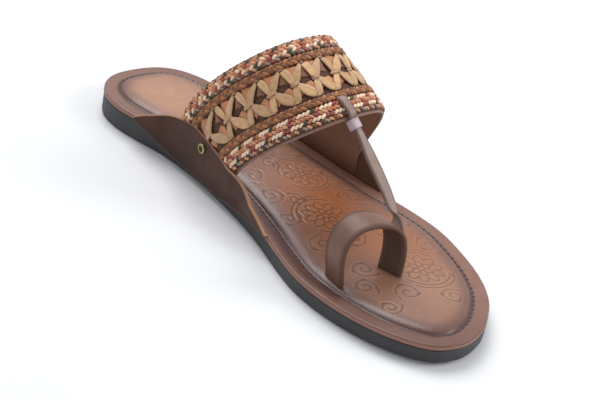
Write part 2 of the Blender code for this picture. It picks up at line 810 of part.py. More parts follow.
def build_rivet(name, medial, material, collection):
    """A ring-headed rivet with its shank and the flange behind the band."""
    start, axis = rivet_axis(medial)
    front = FLAP_WALL + GAP
    back = -(BAND_INNER + GAP)
    rows = (
        (0.45 * RIVET_BACK, back - 0.7 * MM),
        (0.85 * RIVET_BACK, back - 0.7 * MM),
        (RIVET_BACK, back - 0.35 * MM),
        (RIVET_BACK, back),
        (RIVET_SHANK, back),
        (RIVET_SHANK, front),
        (RIVET_HEAD, front),
        (RIVET_HEAD, front + 0.4 * RIVET_RISE),
        (0.88 * RIVET_HEAD, front + 0.85 * RIVET_RISE),
        (0.74 * RIVET_HEAD, front + RIVET_RISE),
        (0.58 * RIVET_HEAD, front + 0.8 * RIVET_RISE),
        (0.50 * RIVET_HEAD, front + 0.35 * RIVET_RISE),
        (0.20 * RIVET_HEAD, front + 0.30 * RIVET_RISE),
    )
    return turned_solid(name, rows, start, axis, material, collection)


def rivet_hole(name, medial, collection):
    """Cutter for a rivet's hole through flap and band."""
    start, axis = rivet_axis(medial)
    radius = RIVET_SHANK + GAP
    rows = ((radius, -4 * BAND_INNER), (radius, 4 * FLAP_WALL))
    return turned_solid(name, rows, start, axis, None, collection)


def slot_cutters(collection):
    """Slots of the toe loop's feet; the outer one also takes the strap."""
    upright = Vector((0.0, 0.0, 1.0))
    long_side = LOOP_WIDTH + 2 * SLOT_PLAY
    made = []
    wide = loop_direction(LOOP_MEDIAL_TURN)
    centre = Vector((LOOP_MEDIAL.x, LOOP_MEDIAL.y, rubber_top(share_of(LOOP_MEDIAL.y))))
    made.append(box_cutter("slot_medial", centre, (wide, upright.cross(wide), upright),
                           (long_side, LOOP_WALL + 2 * SLOT_PLAY, 20 * MM), collection))
    wide = loop_direction(LOOP_LATERAL_TURN)
    foot = (LOOP_LATERAL + strap_foot()) / 2
    reach = (strap_foot() - LOOP_LATERAL).length
    across = reach + (LOOP_WALL + STRAP_WALL) / 2 + 2 * SLOT_PLAY
    aside = (strap_foot() - LOOP_LATERAL).normalized()
    foot += aside * (STRAP_WALL - LOOP_WALL) / 4
    centre = Vector((foot.x, foot.y, rubber_top(share_of(foot.y))))
    made.append(box_cutter("slot_lateral", centre, (wide, upright.cross(wide), upright),
                           (long_side, across, 20 * MM), collection))
    return made


def strap_slit(collection):
    """Slit through the band behind its front braid, for the strap."""
    edge, back, normal, wide = strap_frame()
    top = max(height for _, height in BAND_STRIPS)
    radius = (top + BAND_INNER) / 2 + STRAP_CLEAR + STRAP_WALL / 2
    centre = edge + back * (STRAP_HOLD + 0.87 * radius) + normal * (0.0 * MM)
    sizes = (STRAP_WIDTH_TOP + 2 * STRAP_CLEAR, STRAP_WALL + 3.4 * STRAP_CLEAR + 0.2 * radius, 12 * MM)
    return box_cutter("strap_slit", centre, (wide, back, normal), sizes, collection)


def apply_modifiers(obj):
    """Replace an object's mesh by its evaluated shape."""
    graph = bpy.context.evaluated_depsgraph_get()
    made = bpy.data.meshes.new_from_object(obj.evaluated_get(graph))
    old = obj.data
    obj.modifiers.clear()
    obj.data = made
    made.name = obj.name
    bpy.data.meshes.remove(old)
    return finish(obj)


def centre_on_origin(objects):
    """Move all shapes so that their common box stands centred on the floor."""
    low = np.full(3, np.inf)
    high = np.full(3, -np.inf)
    for obj in objects:
        for vertex in obj.data.vertices:
            low = np.minimum(low, vertex.co)
            high = np.maximum(high, vertex.co)
    shift = Vector((-(low[0] + high[0]) / 2, -(low[1] + high[1]) / 2, -low[2]))
    for obj in objects:
        obj.data.transform(Matrix.Translation(shift))


def main():
    """Build all the pieces in order."""
    for obj in list(bpy.data.objects):
        bpy.data.objects.remove(obj, do_unlink=True)
    parts = bpy.data.collections.new("kolhapuri_sandal")
    cutters = bpy.data.collections.new("cutters")
    for collection in (parts, cutters):
        bpy.context.scene.collection.children.link(collection)
    cutters.hide_render = True

    rubber = new_material("outsole_rubber", (0.030, 0.031, 0.034), 0.62)
    leather = new_material("footbed_leather", (0.290, 0.130, 0.075), 0.38)
    woven = new_material("upper_leather", (0.230, 0.110, 0.055), 0.60)
    taupe = new_material("loop_leather", (0.115, 0.075, 0.055), 0.42)
    pale = new_material("thong_leather", (0.190, 0.135, 0.115), 0.48)
    gloss = new_material("keeper_leather", (0.120, 0.085, 0.095), 0.25)
    brass = new_material("rivet_brass", (0.420, 0.380, 0.170), 0.35, 1.0)

    outsole = build_outsole(rubber, parts)
    insole = build_footbed(leather, parts)
    upper = build_upper(woven, parts, cutters)
    strip("toe_loop", loop_path(), LOOP_WALL, taupe, parts)
    strip("thong_strap", strap_path(), STRAP_WALL, pale, parts)
    build_keeper(gloss, parts, cutters)
    build_rivet("rivet_medial", True, brass, parts)
    build_rivet("rivet_lateral", False, brass, parts)

    boolean(outsole, tread_cutter(cutters), "DIFFERENCE")
    for medial, name in ((True, "rebate_medial"), (False, "rebate_lateral")):
        rebate = flap_sheet(name, medial, GAP, cutters)
        boolean(outsole, rebate, "DIFFERENCE")
        hole = rivet_hole("hole_" + name, medial, cutters)
        boolean(upper, hole, "DIFFERENCE")
    boolean(upper, strap_slit(cutters), "DIFFERENCE")
    for slot in slot_cutters(cutters):
        boolean(insole, slot, "DIFFERENCE")

    bpy.context.view_layer.update()
    for obj in parts.objects:
        apply_modifiers(obj)
    for obj in cutters.objects:
        obj.hide_render = True
        obj.display_type = "WIRE"
    centre_on_origin(list(parts.objects))


main()
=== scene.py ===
"""Looks of the left-foot toe-loop sandal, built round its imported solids.

All sizes are metres in the shoe's own frame: +Z up, the toe along -Y and the
big-toe side at -X.  Each sub-assembly is a class that builds and dresses its
pieces; main() builds them in order.
"""

import json
import logging
import math
from dataclasses import dataclass, field
from enum import Enum
from typing import Optional, Sequence

import bmesh
import bpy
import numpy as np
from mathutils import Matrix, Quaternion, Vector
from mathutils.kdtree import KDTree

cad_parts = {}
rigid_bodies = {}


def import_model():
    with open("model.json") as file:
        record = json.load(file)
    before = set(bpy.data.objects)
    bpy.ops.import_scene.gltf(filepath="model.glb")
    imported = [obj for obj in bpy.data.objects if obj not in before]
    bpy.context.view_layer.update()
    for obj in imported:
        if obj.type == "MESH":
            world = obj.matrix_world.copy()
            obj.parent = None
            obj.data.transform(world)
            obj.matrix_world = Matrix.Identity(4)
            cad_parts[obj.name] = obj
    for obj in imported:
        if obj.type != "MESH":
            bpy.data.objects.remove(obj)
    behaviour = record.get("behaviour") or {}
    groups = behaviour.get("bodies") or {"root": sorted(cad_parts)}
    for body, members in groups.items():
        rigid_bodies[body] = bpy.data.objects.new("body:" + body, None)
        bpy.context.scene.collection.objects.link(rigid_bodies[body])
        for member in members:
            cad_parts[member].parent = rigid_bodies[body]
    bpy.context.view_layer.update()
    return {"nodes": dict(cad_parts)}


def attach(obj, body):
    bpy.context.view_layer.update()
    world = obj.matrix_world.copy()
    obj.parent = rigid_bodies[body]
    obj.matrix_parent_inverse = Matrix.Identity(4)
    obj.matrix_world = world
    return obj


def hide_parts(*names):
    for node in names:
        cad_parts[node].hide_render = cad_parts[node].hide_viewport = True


Array = np.ndarray
Colour = tuple[float, float, float]
Piece = bpy.types.Object
Finish = bpy.types.Material
Socket = bpy.types.NodeSocket
LOG = logging.getLogger("sandal")
MM = 0.001
LENGTH = 260.0 * MM
GAP = 0.3 * MM
EDGE = 2.3 * MM
SHIFT_X = -0.9656 * MM


def srgb(red: float, green: float, blue: float) -> Colour:
    """Linear colour of a display colour.

    Args:
        red: Red from 0 to 255.
        green: Green from 0 to 255.
        blue: Blue from 0 to 255.

    Returns:
        The linear red, green and blue.
    """
    def one(value: float) -> float:
        """Linear value of one channel."""
        share = value / 255.0
        return share / 12.92 if share <= 0.04045 else ((share + 0.055) / 1.055) ** 2.4
    return one(red), one(green), one(blue)


def unit(vectors: Array) -> Array:
    """Vectors scaled to a length of one."""
    return vectors / np.maximum(np.linalg.norm(vectors, axis=-1, keepdims=True), 1e-12)


def bump_curve(value: Array, centre: float, reach: float) -> Array:
    """A soft hump of height one round a centre."""
    return np.exp(-((np.asarray(value) - centre) / reach) ** 2)


def smooth_step(low: float, high: float, value: Array) -> Array:
    """Zero below low, one above high and a soft rise between."""
    part = np.clip((np.asarray(value, float) - low) / (high - low), 0.0, 1.0)
    return part * part * (3 - 2 * part)


def slopes_of(knots: Array, values: Array, closed: bool = False) -> Array:
    """Slopes of a smooth curve through values at knots.

    Args:
        knots: Places of the values, rising.
        values: One row for each knot.
        closed: Whether the last value meets the first.

    Returns:
        One slope row for each knot.
    """
    count = len(knots)
    slopes = np.zeros_like(values)
    for i in range(count):
        before, after = i - 1, i + 1
        if closed:
            span = knots[-1] - knots[0]
            before = (count - 2) if i == 0 else before
            after = 1 if i == count - 1 else after
            back = (knots[i] - knots[before]) % span
            ahead = (knots[after] - knots[i]) % span
        else:
            before, after = max(before, 0), min(after, count - 1)
            back = max(knots[i] - knots[before], 1e-12)
            ahead = max(knots[after] - knots[i], 1e-12)
        left = (values[i] - values[before]) / back
        right = (values[after] - values[i]) / ahead
        slopes[i] = (left * ahead + right * back) / (ahead + back)
        if not closed and i == 0:
            slopes[i] = right
        if not closed and i == count - 1:
            slopes[i] = left
    return slopes


def smooth_at(knots: Array, values: Array, slopes: Array, where: Array) -> Array:
    """Rows of the smooth curve at the given places.

    Args:
        knots: Places of the values, rising.
        values: One row for each knot.
        slopes: One slope row for each knot.
        where: Places to read.

    Returns:
        One row for each place.
    """
    index = np.clip(np.searchsorted(knots, where, side="right") - 1, 0, len(knots) - 2)
    span = (knots[index + 1] - knots[index])[:, None]
    part = np.clip((where - knots[index])[:, None] / span, 0.0, 1.0)
    square, cube = part ** 2, part ** 3
    return ((2 * cube - 3 * square + 1) * values[index]
            + (cube - 2 * square + part) * span * slopes[index]
            + (3 * square - 2 * cube) * values[index + 1]
            + (cube - square) * span * slopes[index + 1])


@dataclass
class Table:
    """A short table of rows, read smoothly by its first column."""

    rows: Sequence[Sequence[float]]

    def __post_init__(self) -> None:
        """Work out the slopes once."""
        self.data = np.array(self.rows, dtype=float)
        self.slopes = slopes_of(self.data[:, 0], self.data[:, 1:])

    def column(self, where: Array, number: int = 1) -> Array:
        """Values of one column at the given places.

        Args:
            where: Places in the first column.
            number: Which column to read.

        Returns:
            An array shaped as where.
        """
        places = np.clip(np.atleast_1d(where), self.data[0, 0], self.data[-1, 0])
        flat = smooth_at(self.data[:, 0], self.data[:, 1:], self.slopes, places.ravel())
        return flat[:, number - 1].reshape(np.shape(where))


def soften(rows: Array, reach: int) -> Array:
    """Rows averaged with their neighbours, with both ends kept.

    Args:
        rows: Rows of numbers.
        reach: Number of passes.

    Returns:
        The softened rows.
    """
    made = rows.copy()
    for _ in range(reach):
        made[1:-1] = 0.25 * made[:-2] + 0.5 * made[1:-1] + 0.25 * made[2:]
    return made


def even_curve(points: Array, count: int) -> Array:
    """Evenly spread rows of a smooth open curve through the points.

    Args:
        points: Rows that start with x, y and z.
        count: Number of rows.

    Returns:
        The given number of rows.
    """
    steps = np.linalg.norm(np.diff(points[:, :3], axis=0), axis=1)
    knots = np.concatenate(([0.0], np.cumsum(steps)))
    return smooth_at(knots, points, slopes_of(knots, points), np.linspace(0, knots[-1], count))


class Side(Enum):
    """A side of the shoe."""

    MEDIAL = -1
    LATERAL = 1


@dataclass
class SoleShape:
    """Outline and heights of the sole, as in the part's source."""

    outline: tuple = (
        (0.008, 0.0640, 0.0470), (0.030, 0.0980, 0.0800), (0.070, 0.1240, 0.1040),
        (0.120, 0.1320, 0.1170), (0.180, 0.1240, 0.1220), (0.250, 0.1090, 0.1245),
        (0.330, 0.1060, 0.1310), (0.410, 0.1110, 0.1400), (0.490, 0.1185, 0.1510),
        (0.570, 0.1340, 0.1650), (0.650, 0.1570, 0.1780), (0.720, 0.1730, 0.1800),
        (0.790, 0.1745, 0.1640), (0.860, 0.1640, 0.1370), (0.920, 0.1440, 0.0980),
        (0.965, 0.1180, 0.0470), (0.988, 0.0930, 0.0070),
    )
    heel_tip: float = -0.0115
    toe_tip: float = -0.0454
    levels: tuple = (
        (0.00, 0.5, 10.6), (0.05, 0.0, 10.6), (0.15, 0.0, 10.6), (0.28, 0.0, 10.4),
        (0.38, 0.9, 9.9), (0.48, 0.0, 8.6), (0.58, 0.0, 7.3), (0.70, 0.0, 6.8),
        (0.80, 0.2, 6.8), (0.90, 0.8, 7.3), (1.00, 1.9, 8.3),
    )

    def __post_init__(self) -> None:
        """Fit the smooth closed outline."""
        rows = np.array(self.outline)
        medial = np.stack([-rows[:, 1], 0.5 - rows[:, 0]], axis=1)
        lateral = np.stack([rows[:, 2], 0.5 - rows[:, 0]], axis=1)
        heel, toe = np.array([[self.heel_tip, 0.5]]), np.array([[self.toe_tip, -0.5]])
        self.points = np.concatenate([heel, medial, toe, lateral[::-1], heel]) * LENGTH
        steps = np.sqrt(np.linalg.norm(np.diff(self.points, axis=0), axis=1))
        self.knots = np.concatenate(([0.0], np.cumsum(steps)))
        self.slopes = slopes_of(self.knots, self.points, True)
        self.toe_knot = self.knots[len(rows) + 1]
        self.heights = Table(self.levels)
        self.sides = {side: self.side(side, 400) for side in Side}

    def side(self, side: Side, count: int, even: float = 0.45) -> Array:
        """Points of one side from the heel tip to the toe tip.

        Args:
            side: Which side.
            count: Number of steps.
            even: Share of even spacing; the rest gathers at the tips.

        Returns:
            count + 1 rows of x and y, without the frame's shift.
        """
        line = np.linspace(0.0, 1.0, count + 1)
        share = (1 - even) * (0.5 - 0.5 * np.cos(np.pi * line)) + even * line
        end = self.knots[-1]
        where = (share * self.toe_knot if side is Side.MEDIAL
                 else end - share * (end - self.toe_knot))
        return smooth_at(self.knots, self.points, self.slopes, where)

    def half_width(self, share: Array, side: Side) -> Array:
        """Distance of a side from the middle line at shares of the length.

        Args:
            share: Share of the length from the heel.
            side: Which side.

        Returns:
            One distance for each share.
        """
        line = self.sides[side]
        order = np.argsort(-line[:, 1])
        return np.interp((np.asarray(share) - 0.5) * LENGTH, -line[order, 1],
                         np.abs(line[order, 0]))

    def rubber_top(self, share: Array) -> Array:
        """Height of the rubber's upper face."""
        return self.heights.column(share, 2) * MM

    def rim_top(self, share: Array) -> Array:
        """Height of the footbed's flat rim."""
        return self.rubber_top(share) + GAP + EDGE

    def wall_point(self, share: Array, side: Side, out: Array) -> Array:
        """Points outside one side, square to the outline.

        Args:
            share: Shares of the length from the heel.
            side: Which side.
            out: Distances outwards.

        Returns:
            Rows of x and y in the frame.
        """
        step = 0.004
        ahead = self.half_width(share + step, side) - self.half_width(share - step, side)
        normal = unit(np.stack([np.full_like(ahead, 2 * step * LENGTH), ahead], axis=-1))
        x = self.half_width(share, side) + normal[..., 0] * out
        y = (0.5 - share) * LENGTH + normal[..., 1] * out
        return np.stack([side.value * x + SHIFT_X, y], axis=-1)


SOLE = SoleShape()


def flap_out(share: Array, height: Array) -> Array:
    """Distance of a flap's inner face outside the sole's outline."""
    return GAP + 0.05 * np.maximum(height - SOLE.rim_top(share), 0.0)


@dataclass
class FlapShape:
    """Lower and upper edges of the two side flaps."""

    rows: tuple = (
        (0.1750, 12.2, 13.5, 13.5), (0.1920, 10.8, 16.4, 16.4), (0.2230, 8.2, 20.8, 20.8),
        (0.2620, 5.6, 25.2, 25.2), (0.2980, 4.5, 27.7, 27.7), (0.3370, 4.0, 28.9, 28.9),
        (0.3670, 3.9, 28.1, 28.6), (0.4080, 4.0, 25.8, 27.6), (0.4490, 4.6, 23.4, 26.8),
        (0.4860, 5.8, 22.0, 26.2), (0.5150, 6.6, 19.9, 25.0), (0.5450, 7.3, 16.4, 20.4),
        (0.5830, 8.6, 12.8, 11.6), (0.6110, 9.5, 11.0, 11.0),
    )
    wall: float = 1.9 * MM

    def __post_init__(self) -> None:
        """Fit the edges once."""
        self.table = Table(self.rows)
        self.rear = self.rows[0][0]
        self.fronts = {Side.MEDIAL: 0.611, Side.LATERAL: 0.586}

    def bottom(self, share: Array) -> Array:
        """Height of the lower edge."""
        return self.table.column(share, 1) * MM

    def top(self, share: Array, side: Side) -> Array:
        """Height of the upper edge."""
        return self.table.column(share, 2 if side is Side.MEDIAL else 3) * MM


FLAPS = FlapShape()


@dataclass
class BandEdge:
    """One edge of the band: an arch from the big-toe side to the outer side."""

    medial: float
    lateral: float
    medial_z: float
    lateral_z: float
    crown: float
    power: float
    bow: float
    skew: float

    def point(self, part: Array) -> Array:
        """Points along the edge; part runs 0 to 1 across the foot.

        Args:
            part: Part across the foot, 0 to 1.

        Returns:
            Rows of x, y and z.
        """
        angle = np.pi * np.asarray(part, float)
        side, rise = np.cos(angle), np.sin(angle)
        share = self.medial + (self.lateral - self.medial) * part
        left = -(SOLE.half_width(self.medial, Side.MEDIAL)
                 + flap_out(np.array(self.medial), self.medial_z))
        right = (SOLE.half_width(self.lateral, Side.LATERAL)
                 + flap_out(np.array(self.lateral), self.lateral_z))
        across = np.sign(side) * np.abs(side) ** self.power
        base = self.medial_z + (self.lateral_z - self.medial_z) * part
        return np.stack([
            (left + right) / 2 - (right - left) / 2 * across + SHIFT_X,
            (0.5 - share) * LENGTH - self.bow * rise + self.skew * np.sin(2 * angle),
            base + (self.crown - base) * np.abs(rise) ** self.power,
        ], axis=-1)


@dataclass
class BandShape:
    """The band's base face between its two edges."""

    front: BandEdge = field(default_factory=lambda: BandEdge(
        0.467, 0.5015, 20.0 * MM, 23.1 * MM, 64.8 * MM, 0.80, 31.5 * MM, -3.1 * MM))
    rear: BandEdge = field(default_factory=lambda: BandEdge(
        0.294, 0.330, 27.0 * MM, 24.5 * MM, 83.8 * MM, 0.70, 35.5 * MM, -2.6 * MM))

    def base(self, part: Array, along: Array) -> Array:
        """Points of the base face; along runs 0 at the front to 1 behind.

        Args:
            part: Part across the foot, 0 to 1.
            along: Place along the band's width.

        Returns:
            Rows of x, y and z.
        """
        part, along = np.broadcast_arrays(np.asarray(part, float), np.asarray(along, float))
        mix = along[..., None]
        return self.front.point(part) * (1 - mix) + self.rear.point(part) * mix

    def axes(self, part: Array, along: Array) -> tuple[Array, Array, Array]:
        """Directions on the band: run across the foot, rearwards and outwards.

        Args:
            part: Part across the foot, 0 to 1.
            along: Place along the band's width.

        Returns:
            The three unit directions.
        """
        part, along = np.broadcast_arrays(np.asarray(part, float), np.asarray(along, float))
        low, high = np.clip(part - 0.004, 0, 1), np.clip(part + 0.004, 0, 1)
        run = unit(self.base(high, along) - self.base(low, along))
        back = self.base(part, np.ones_like(along)) - self.base(part, np.zeros_like(along))
        normal = unit(np.cross(run, back))
        return run, unit(np.cross(normal, run)), normal

    def place(self, part: Array, along: Array, lift: Array) -> Array:
        """Points lifted off the base face and tucked behind the flaps.

        Args:
            part: Part across the foot, 0 to 1.
            along: Place along the band's width.
            lift: Height over the base face.

        Returns:
            Rows of x, y and z.
        """
        lift = np.broadcast_to(lift, np.broadcast(part, along, lift).shape)
        points = self.base(part, along) + self.axes(part, along)[2] * lift[..., None]
        return self.tuck(points)

    @staticmethod
    def tuck(points: Array) -> Array:
        """Draw points near a foot of the band in behind the flap's inner face.

        Args:
            points: Points, changed in place.

        Returns:
            The same points.
        """
        share = 0.5 - points[..., 1] / LENGTH
        for side in Side:
            top = FLAPS.top(share, side)
            wall = SOLE.half_width(share, side) + flap_out(share, points[..., 2]) - 0.12 * MM
            x = side.value * (points[..., 0] - SHIFT_X)
            hold = smooth_step(top + 2.2 * MM, top - 1.2 * MM, points[..., 2])
            x = x - np.maximum(x - wall, 0.0) * hold
            keep = side.value * (points[..., 0] - SHIFT_X) > 0
            points[..., 0] = np.where(keep, side.value * x + SHIFT_X, points[..., 0])
        return points

    def ruler(self, along: float, count: int = 401) -> tuple[Array, Array]:
        """Parts and their distances from the big-toe end, at one place.

        Args:
            along: Place along the band's width.
            count: Number of steps.

        Returns:
            The parts and their distances.
        """
        parts = np.linspace(0.0, 1.0, count)
        steps = np.linalg.norm(np.diff(self.base(parts, along), axis=0), axis=1)
        return parts, np.concatenate(([0.0], np.cumsum(steps)))

    def part_at(self, along: float, distance: Array) -> Array:
        """Parts at distances from the big-toe end."""
        parts, lengths = self.ruler(along)
        return np.interp(distance, lengths, parts)


BAND = BandShape()


# Meshes

def mesh_piece(name: str, points: Array, faces: Sequence[Sequence[int]],
               attributes: Optional[dict[str, Array]] = None,
               uv: Optional[Array] = None) -> Piece:
    """A smooth mesh object with outward faces.

    Args:
        name: Name of the object.
        points: Rows of x, y and z.
        faces: Corner numbers of each face.
        attributes: Values for each point, as numbers or colours.
        uv: Two values for each point.

    Returns:
        The object, linked to the scene.
    """
    mesh = bpy.data.meshes.new(name)
    mesh.from_pydata(np.asarray(points, float).tolist(), [], [tuple(f) for f in faces])
    mesh.update()
    for key, values in (attributes or {}).items():
        values = np.asarray(values, np.float32)
        if values.ndim == 1:
            mesh.attributes.new(key, "FLOAT", "POINT").data.foreach_set("value", values)
        else:
            rgba = np.ones((len(values), 4), np.float32)
            rgba[:, :3] = values
            layer = mesh.attributes.new(key, "FLOAT_COLOR", "POINT")
            layer.data.foreach_set("color", rgba.ravel())
    if uv is not None:
        corners = np.zeros(len(mesh.loops), np.int32)
        mesh.loops.foreach_get("vertex_index", corners)
        layer = mesh.uv_layers.new(name="UVMap")
        layer.data.foreach_set("uv", np.asarray(uv, np.float32)[corners].ravel())
    mesh.polygons.foreach_set("use_smooth", np.ones(len(mesh.polygons), bool))
    work = bmesh.new()
    work.from_mesh(mesh)
    bmesh.ops.recalc_face_normals(work, faces=work.faces)
    work.to_mesh(mesh)
    work.free()
    obj = bpy.data.objects.new(name, mesh)
    bpy.context.scene.collection.objects.link(obj)
    return obj


def ring_faces(rings: int, count: int, start: int = 0, capped: bool = True) -> list:
    """Faces of a tube of closed rings, with both ends closed if capped.

    Args:
        rings: Number of rings.
        count: Points in each ring.
        start: Number of the first point.
        capped: Whether both ends are closed.

    Returns:
        Corner numbers of each face.
    """
    faces = []
    for row in range(rings - 1):
        for i in range(count):
            j = (i + 1) % count
            low, high = start + row * count, start + (row + 1) * count
            faces.append((low + i, low + j, high + j, high + i))
    if capped:
        faces.append(tuple(start + i for i in range(count)))
        faces.append(tuple(start + (rings - 1) * count + i for i in range(count)))
    return faces


def dress(obj: Piece, material: Finish, slot: str,
          *nodes: str) -> Piece:
    """Give a piece its material and its body, and hide the nodes it replaces.

    Args:
        obj: The piece.
        material: Finish of the piece.
        slot: Material slot; not used.
        *nodes: CAD nodes it replaces.

    Returns:
        The same piece.
    """
    obj.data.materials.clear()
    obj.data.materials.append(material)
    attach(obj, "root")
    if nodes:
        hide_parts(*nodes)
    LOG.info("%s: %d faces", obj.name, len(obj.data.polygons))
    return obj


def strap_section(width: float, wall: float, bend: int = 5) -> Array:
    """Corners of a flat strap's cross-section with rounded edges.

    Args:
        width: Width of the strap.
        wall: Thickness of the strap.
        bend: Points round each edge.

    Returns:
        Rows of a place along the width, one along the thickness, the side from
        -1 below to 1 above, and an edge mask.
    """
    radius = 0.42 * wall
    rows = []
    for sx, sz in ((1, 1), (-1, 1), (-1, -1), (1, -1)):
        begin = {(1, 1): 0, (-1, 1): 90, (-1, -1): 180, (1, -1): 270}[(sx, sz)]
        flats = np.linspace(-0.7, 0.7, 5) * (width / 2 - radius)
        for k in range(bend):
            angle = math.radians(begin + 90 * k / (bend - 1))
            rows.append((sx * (width / 2 - radius) + radius * math.cos(angle),
                         sz * (wall / 2 - radius) + radius * math.sin(angle), sz, 1.0))
        if (sx, sz) == (1, 1):
            rows.extend((x, wall / 2, 1.0, 0.0) for x in flats[::-1])
        if (sx, sz) == (-1, -1):
            rows.extend((x, -wall / 2, -1.0, 0.0) for x in flats)
    return np.array(rows)


def sweep(name: str, path: Array, wides: Array, widths: Array, wall: float,
          crown: float = 0.0) -> Piece:
    """A flat strap swept along a path.

    Args:
        name: Name of the object.
        path: Rows of x, y and z.
        wides: Width direction of each row.
        widths: Width at each row.
        wall: Thickness.
        crown: Extra height along the middle of the upper face.

    Returns:
        The strap, with attributes "face" and "edge" and a map in metres.
    """
    run = unit(np.gradient(path, axis=0))
    wide = unit(wides - run * (wides * run).sum(1)[:, None])
    face = np.cross(wide, run)
    length = np.concatenate(([0], np.cumsum(np.linalg.norm(np.diff(path, axis=0), axis=1))))
    points, sides, edges, maps = [], [], [], []
    for i in range(len(path)):
        section = strap_section(widths[i], wall)
        bulge = crown * (1 - (2 * section[:, 0] / widths[i]) ** 2) * (section[:, 1] > 0)
        points.append(path[i] + wide[i] * section[:, :1]
                      + face[i] * (section[:, 1] + bulge)[:, None])
        sides.append(section[:, 2])
        edges.append(section[:, 3])
        maps.append(np.stack([np.full(len(section), length[i]), section[:, 0]], axis=1))
    count = len(points[0])
    return mesh_piece(name, np.concatenate(points), ring_faces(len(path), count),
                      {"face": np.concatenate(sides), "edge": np.concatenate(edges)},
                      np.concatenate(maps))


# Node trees

@dataclass
class Graph:
    """A short way to add and link nodes in one tree."""

    tree: bpy.types.NodeTree

    def node(self, kind: str, **settings: object) -> bpy.types.Node:
        """Add a node; settings name properties, or inputs as in_Name.

        Args:
            kind: Blender's name of the kind.
            **settings: Properties, or inputs as in_Name.

        Returns:
            The new node.
        """
        made = self.tree.nodes.new(kind)
        for key, value in settings.items():
            if key.startswith("in_"):
                socket = made.inputs[key[3:].replace("_", " ")]
                self.feed(socket, value)
            else:
                setattr(made, key, value)
        return made

    def feed(self, socket: Socket, value: object) -> None:
        """Link or set one input.

        Args:
            socket: Input to set.
            value: Value or socket.
        """
        if isinstance(value, Socket):
            self.tree.links.new(value, socket)
        elif isinstance(value, tuple) and len(value) == 3 and socket.type == "RGBA":
            socket.default_value = (*value, 1.0)
        else:
            socket.default_value = value

    def math(self, kind: str, first: object, second: object = 0.0,
             clamp: bool = False) -> Socket:
        """A Math node's result.

        Args:
            kind: Blender's name of the kind.
            first: First value or socket.
            second: Second value or socket.
            clamp: Whether the result stays within 0 to 1.

        Returns:
            The result's socket.
        """
        made = self.node("ShaderNodeMath", operation=kind, use_clamp=clamp)
        self.feed(made.inputs[0], first)
        self.feed(made.inputs[1], second)
        return made.outputs[0]

    def mix(self, factor: object, first: object, second: object,
            kind: str = "MIX") -> Socket:
        """A colour Mix node's result.

        Args:
            factor: Share of the second colour.
            first: First colour.
            second: Second colour.
            kind: Blender's name of the kind.

        Returns:
            The colour's socket.
        """
        made = self.node("ShaderNodeMix", data_type="RGBA", blend_type=kind)
        self.feed(made.inputs[0], factor)
        self.feed(made.inputs[6], first)
        self.feed(made.inputs[7], second)
        return made.outputs[2]

    def spread(self, value: object, low: float, high: float, start: float = 0.0,
               end: float = 1.0) -> Socket:
        """A clamped Map Range node's result.

        Args:
            value: Value or socket.
            low: Value that gives the start.
            high: Value that gives the end.
            start: Lowest result.
            end: Highest result.

        Returns:
            The result's socket.
        """
        made = self.node("ShaderNodeMapRange", clamp=True)
        for name, given in (("Value", value), ("From Min", low), ("From Max", high),
                            ("To Min", start), ("To Max", end)):
            self.feed(made.inputs[name], given)
        return made.outputs[0]

    def stretch(self, vector: object, scale: tuple[float, float, float]) -> Socket:
        """A Mapping node's result with only a scale.

        Args:
            vector: Coordinates.
            scale: Scale of each axis.

        Returns:
            The vector's socket.
        """
        made = self.node("ShaderNodeMapping")
        self.feed(made.inputs["Vector"], vector)
        made.inputs["Scale"].default_value = scale
        return made.outputs[0]

    def noise(self, vector: object, scale: float, detail: float = 3.0,
              rough: float = 0.55) -> Socket:
        """A Noise node's value.

        Args:
            vector: Coordinates.
            scale: Scale of the pattern.
            detail: Octaves.
            rough: Strength of each octave.

        Returns:
            The value's socket.
        """
        made = self.node("ShaderNodeTexNoise", in_Scale=scale, in_Detail=detail,
                         in_Roughness=rough)
        self.feed(made.inputs["Vector"], vector)
        return made.outputs[0]

    def attribute(self, name: str, colour: bool = False) -> Socket:
        """A mesh attribute's value or colour."""
        made = self.node("ShaderNodeAttribute", attribute_name=name)
        return made.outputs["Color" if colour else "Fac"]

    def place(self) -> Socket:
        """Object coordinates."""
        return self.node("ShaderNodeTexCoord").outputs["Object"]

    def map(self) -> Socket:
        """The piece's own map."""
        return self.node("ShaderNodeUVMap", uv_map="UVMap").outputs[0]


def new_group(name: str, inputs: Sequence[tuple[str, str, object]],
              outputs: Sequence[tuple[str, str]]) -> tuple[Graph, dict, bpy.types.Node]:
    """Start a shader node group.

    Args:
        name: Name of the group.
        inputs: Name, socket type and default value of each input.
        outputs: Name and socket type of each output.

    Returns:
        The group's graph, its inputs by name and its output node.
    """
    tree = bpy.data.node_groups.new(name, "ShaderNodeTree")
    for label, kind, value in inputs:
        socket = tree.interface.new_socket(label, in_out="INPUT", socket_type=kind)
        if kind != "NodeSocketVector":
            socket.default_value = (*value, 1.0) if isinstance(value, tuple) else value
    for label, kind in outputs:
        tree.interface.new_socket(label, in_out="OUTPUT", socket_type=kind)
    graph = Graph(tree)
    source = graph.node("NodeGroupInput")
    return graph, {s.name: s for s in source.outputs}, graph.node("NodeGroupOutput")


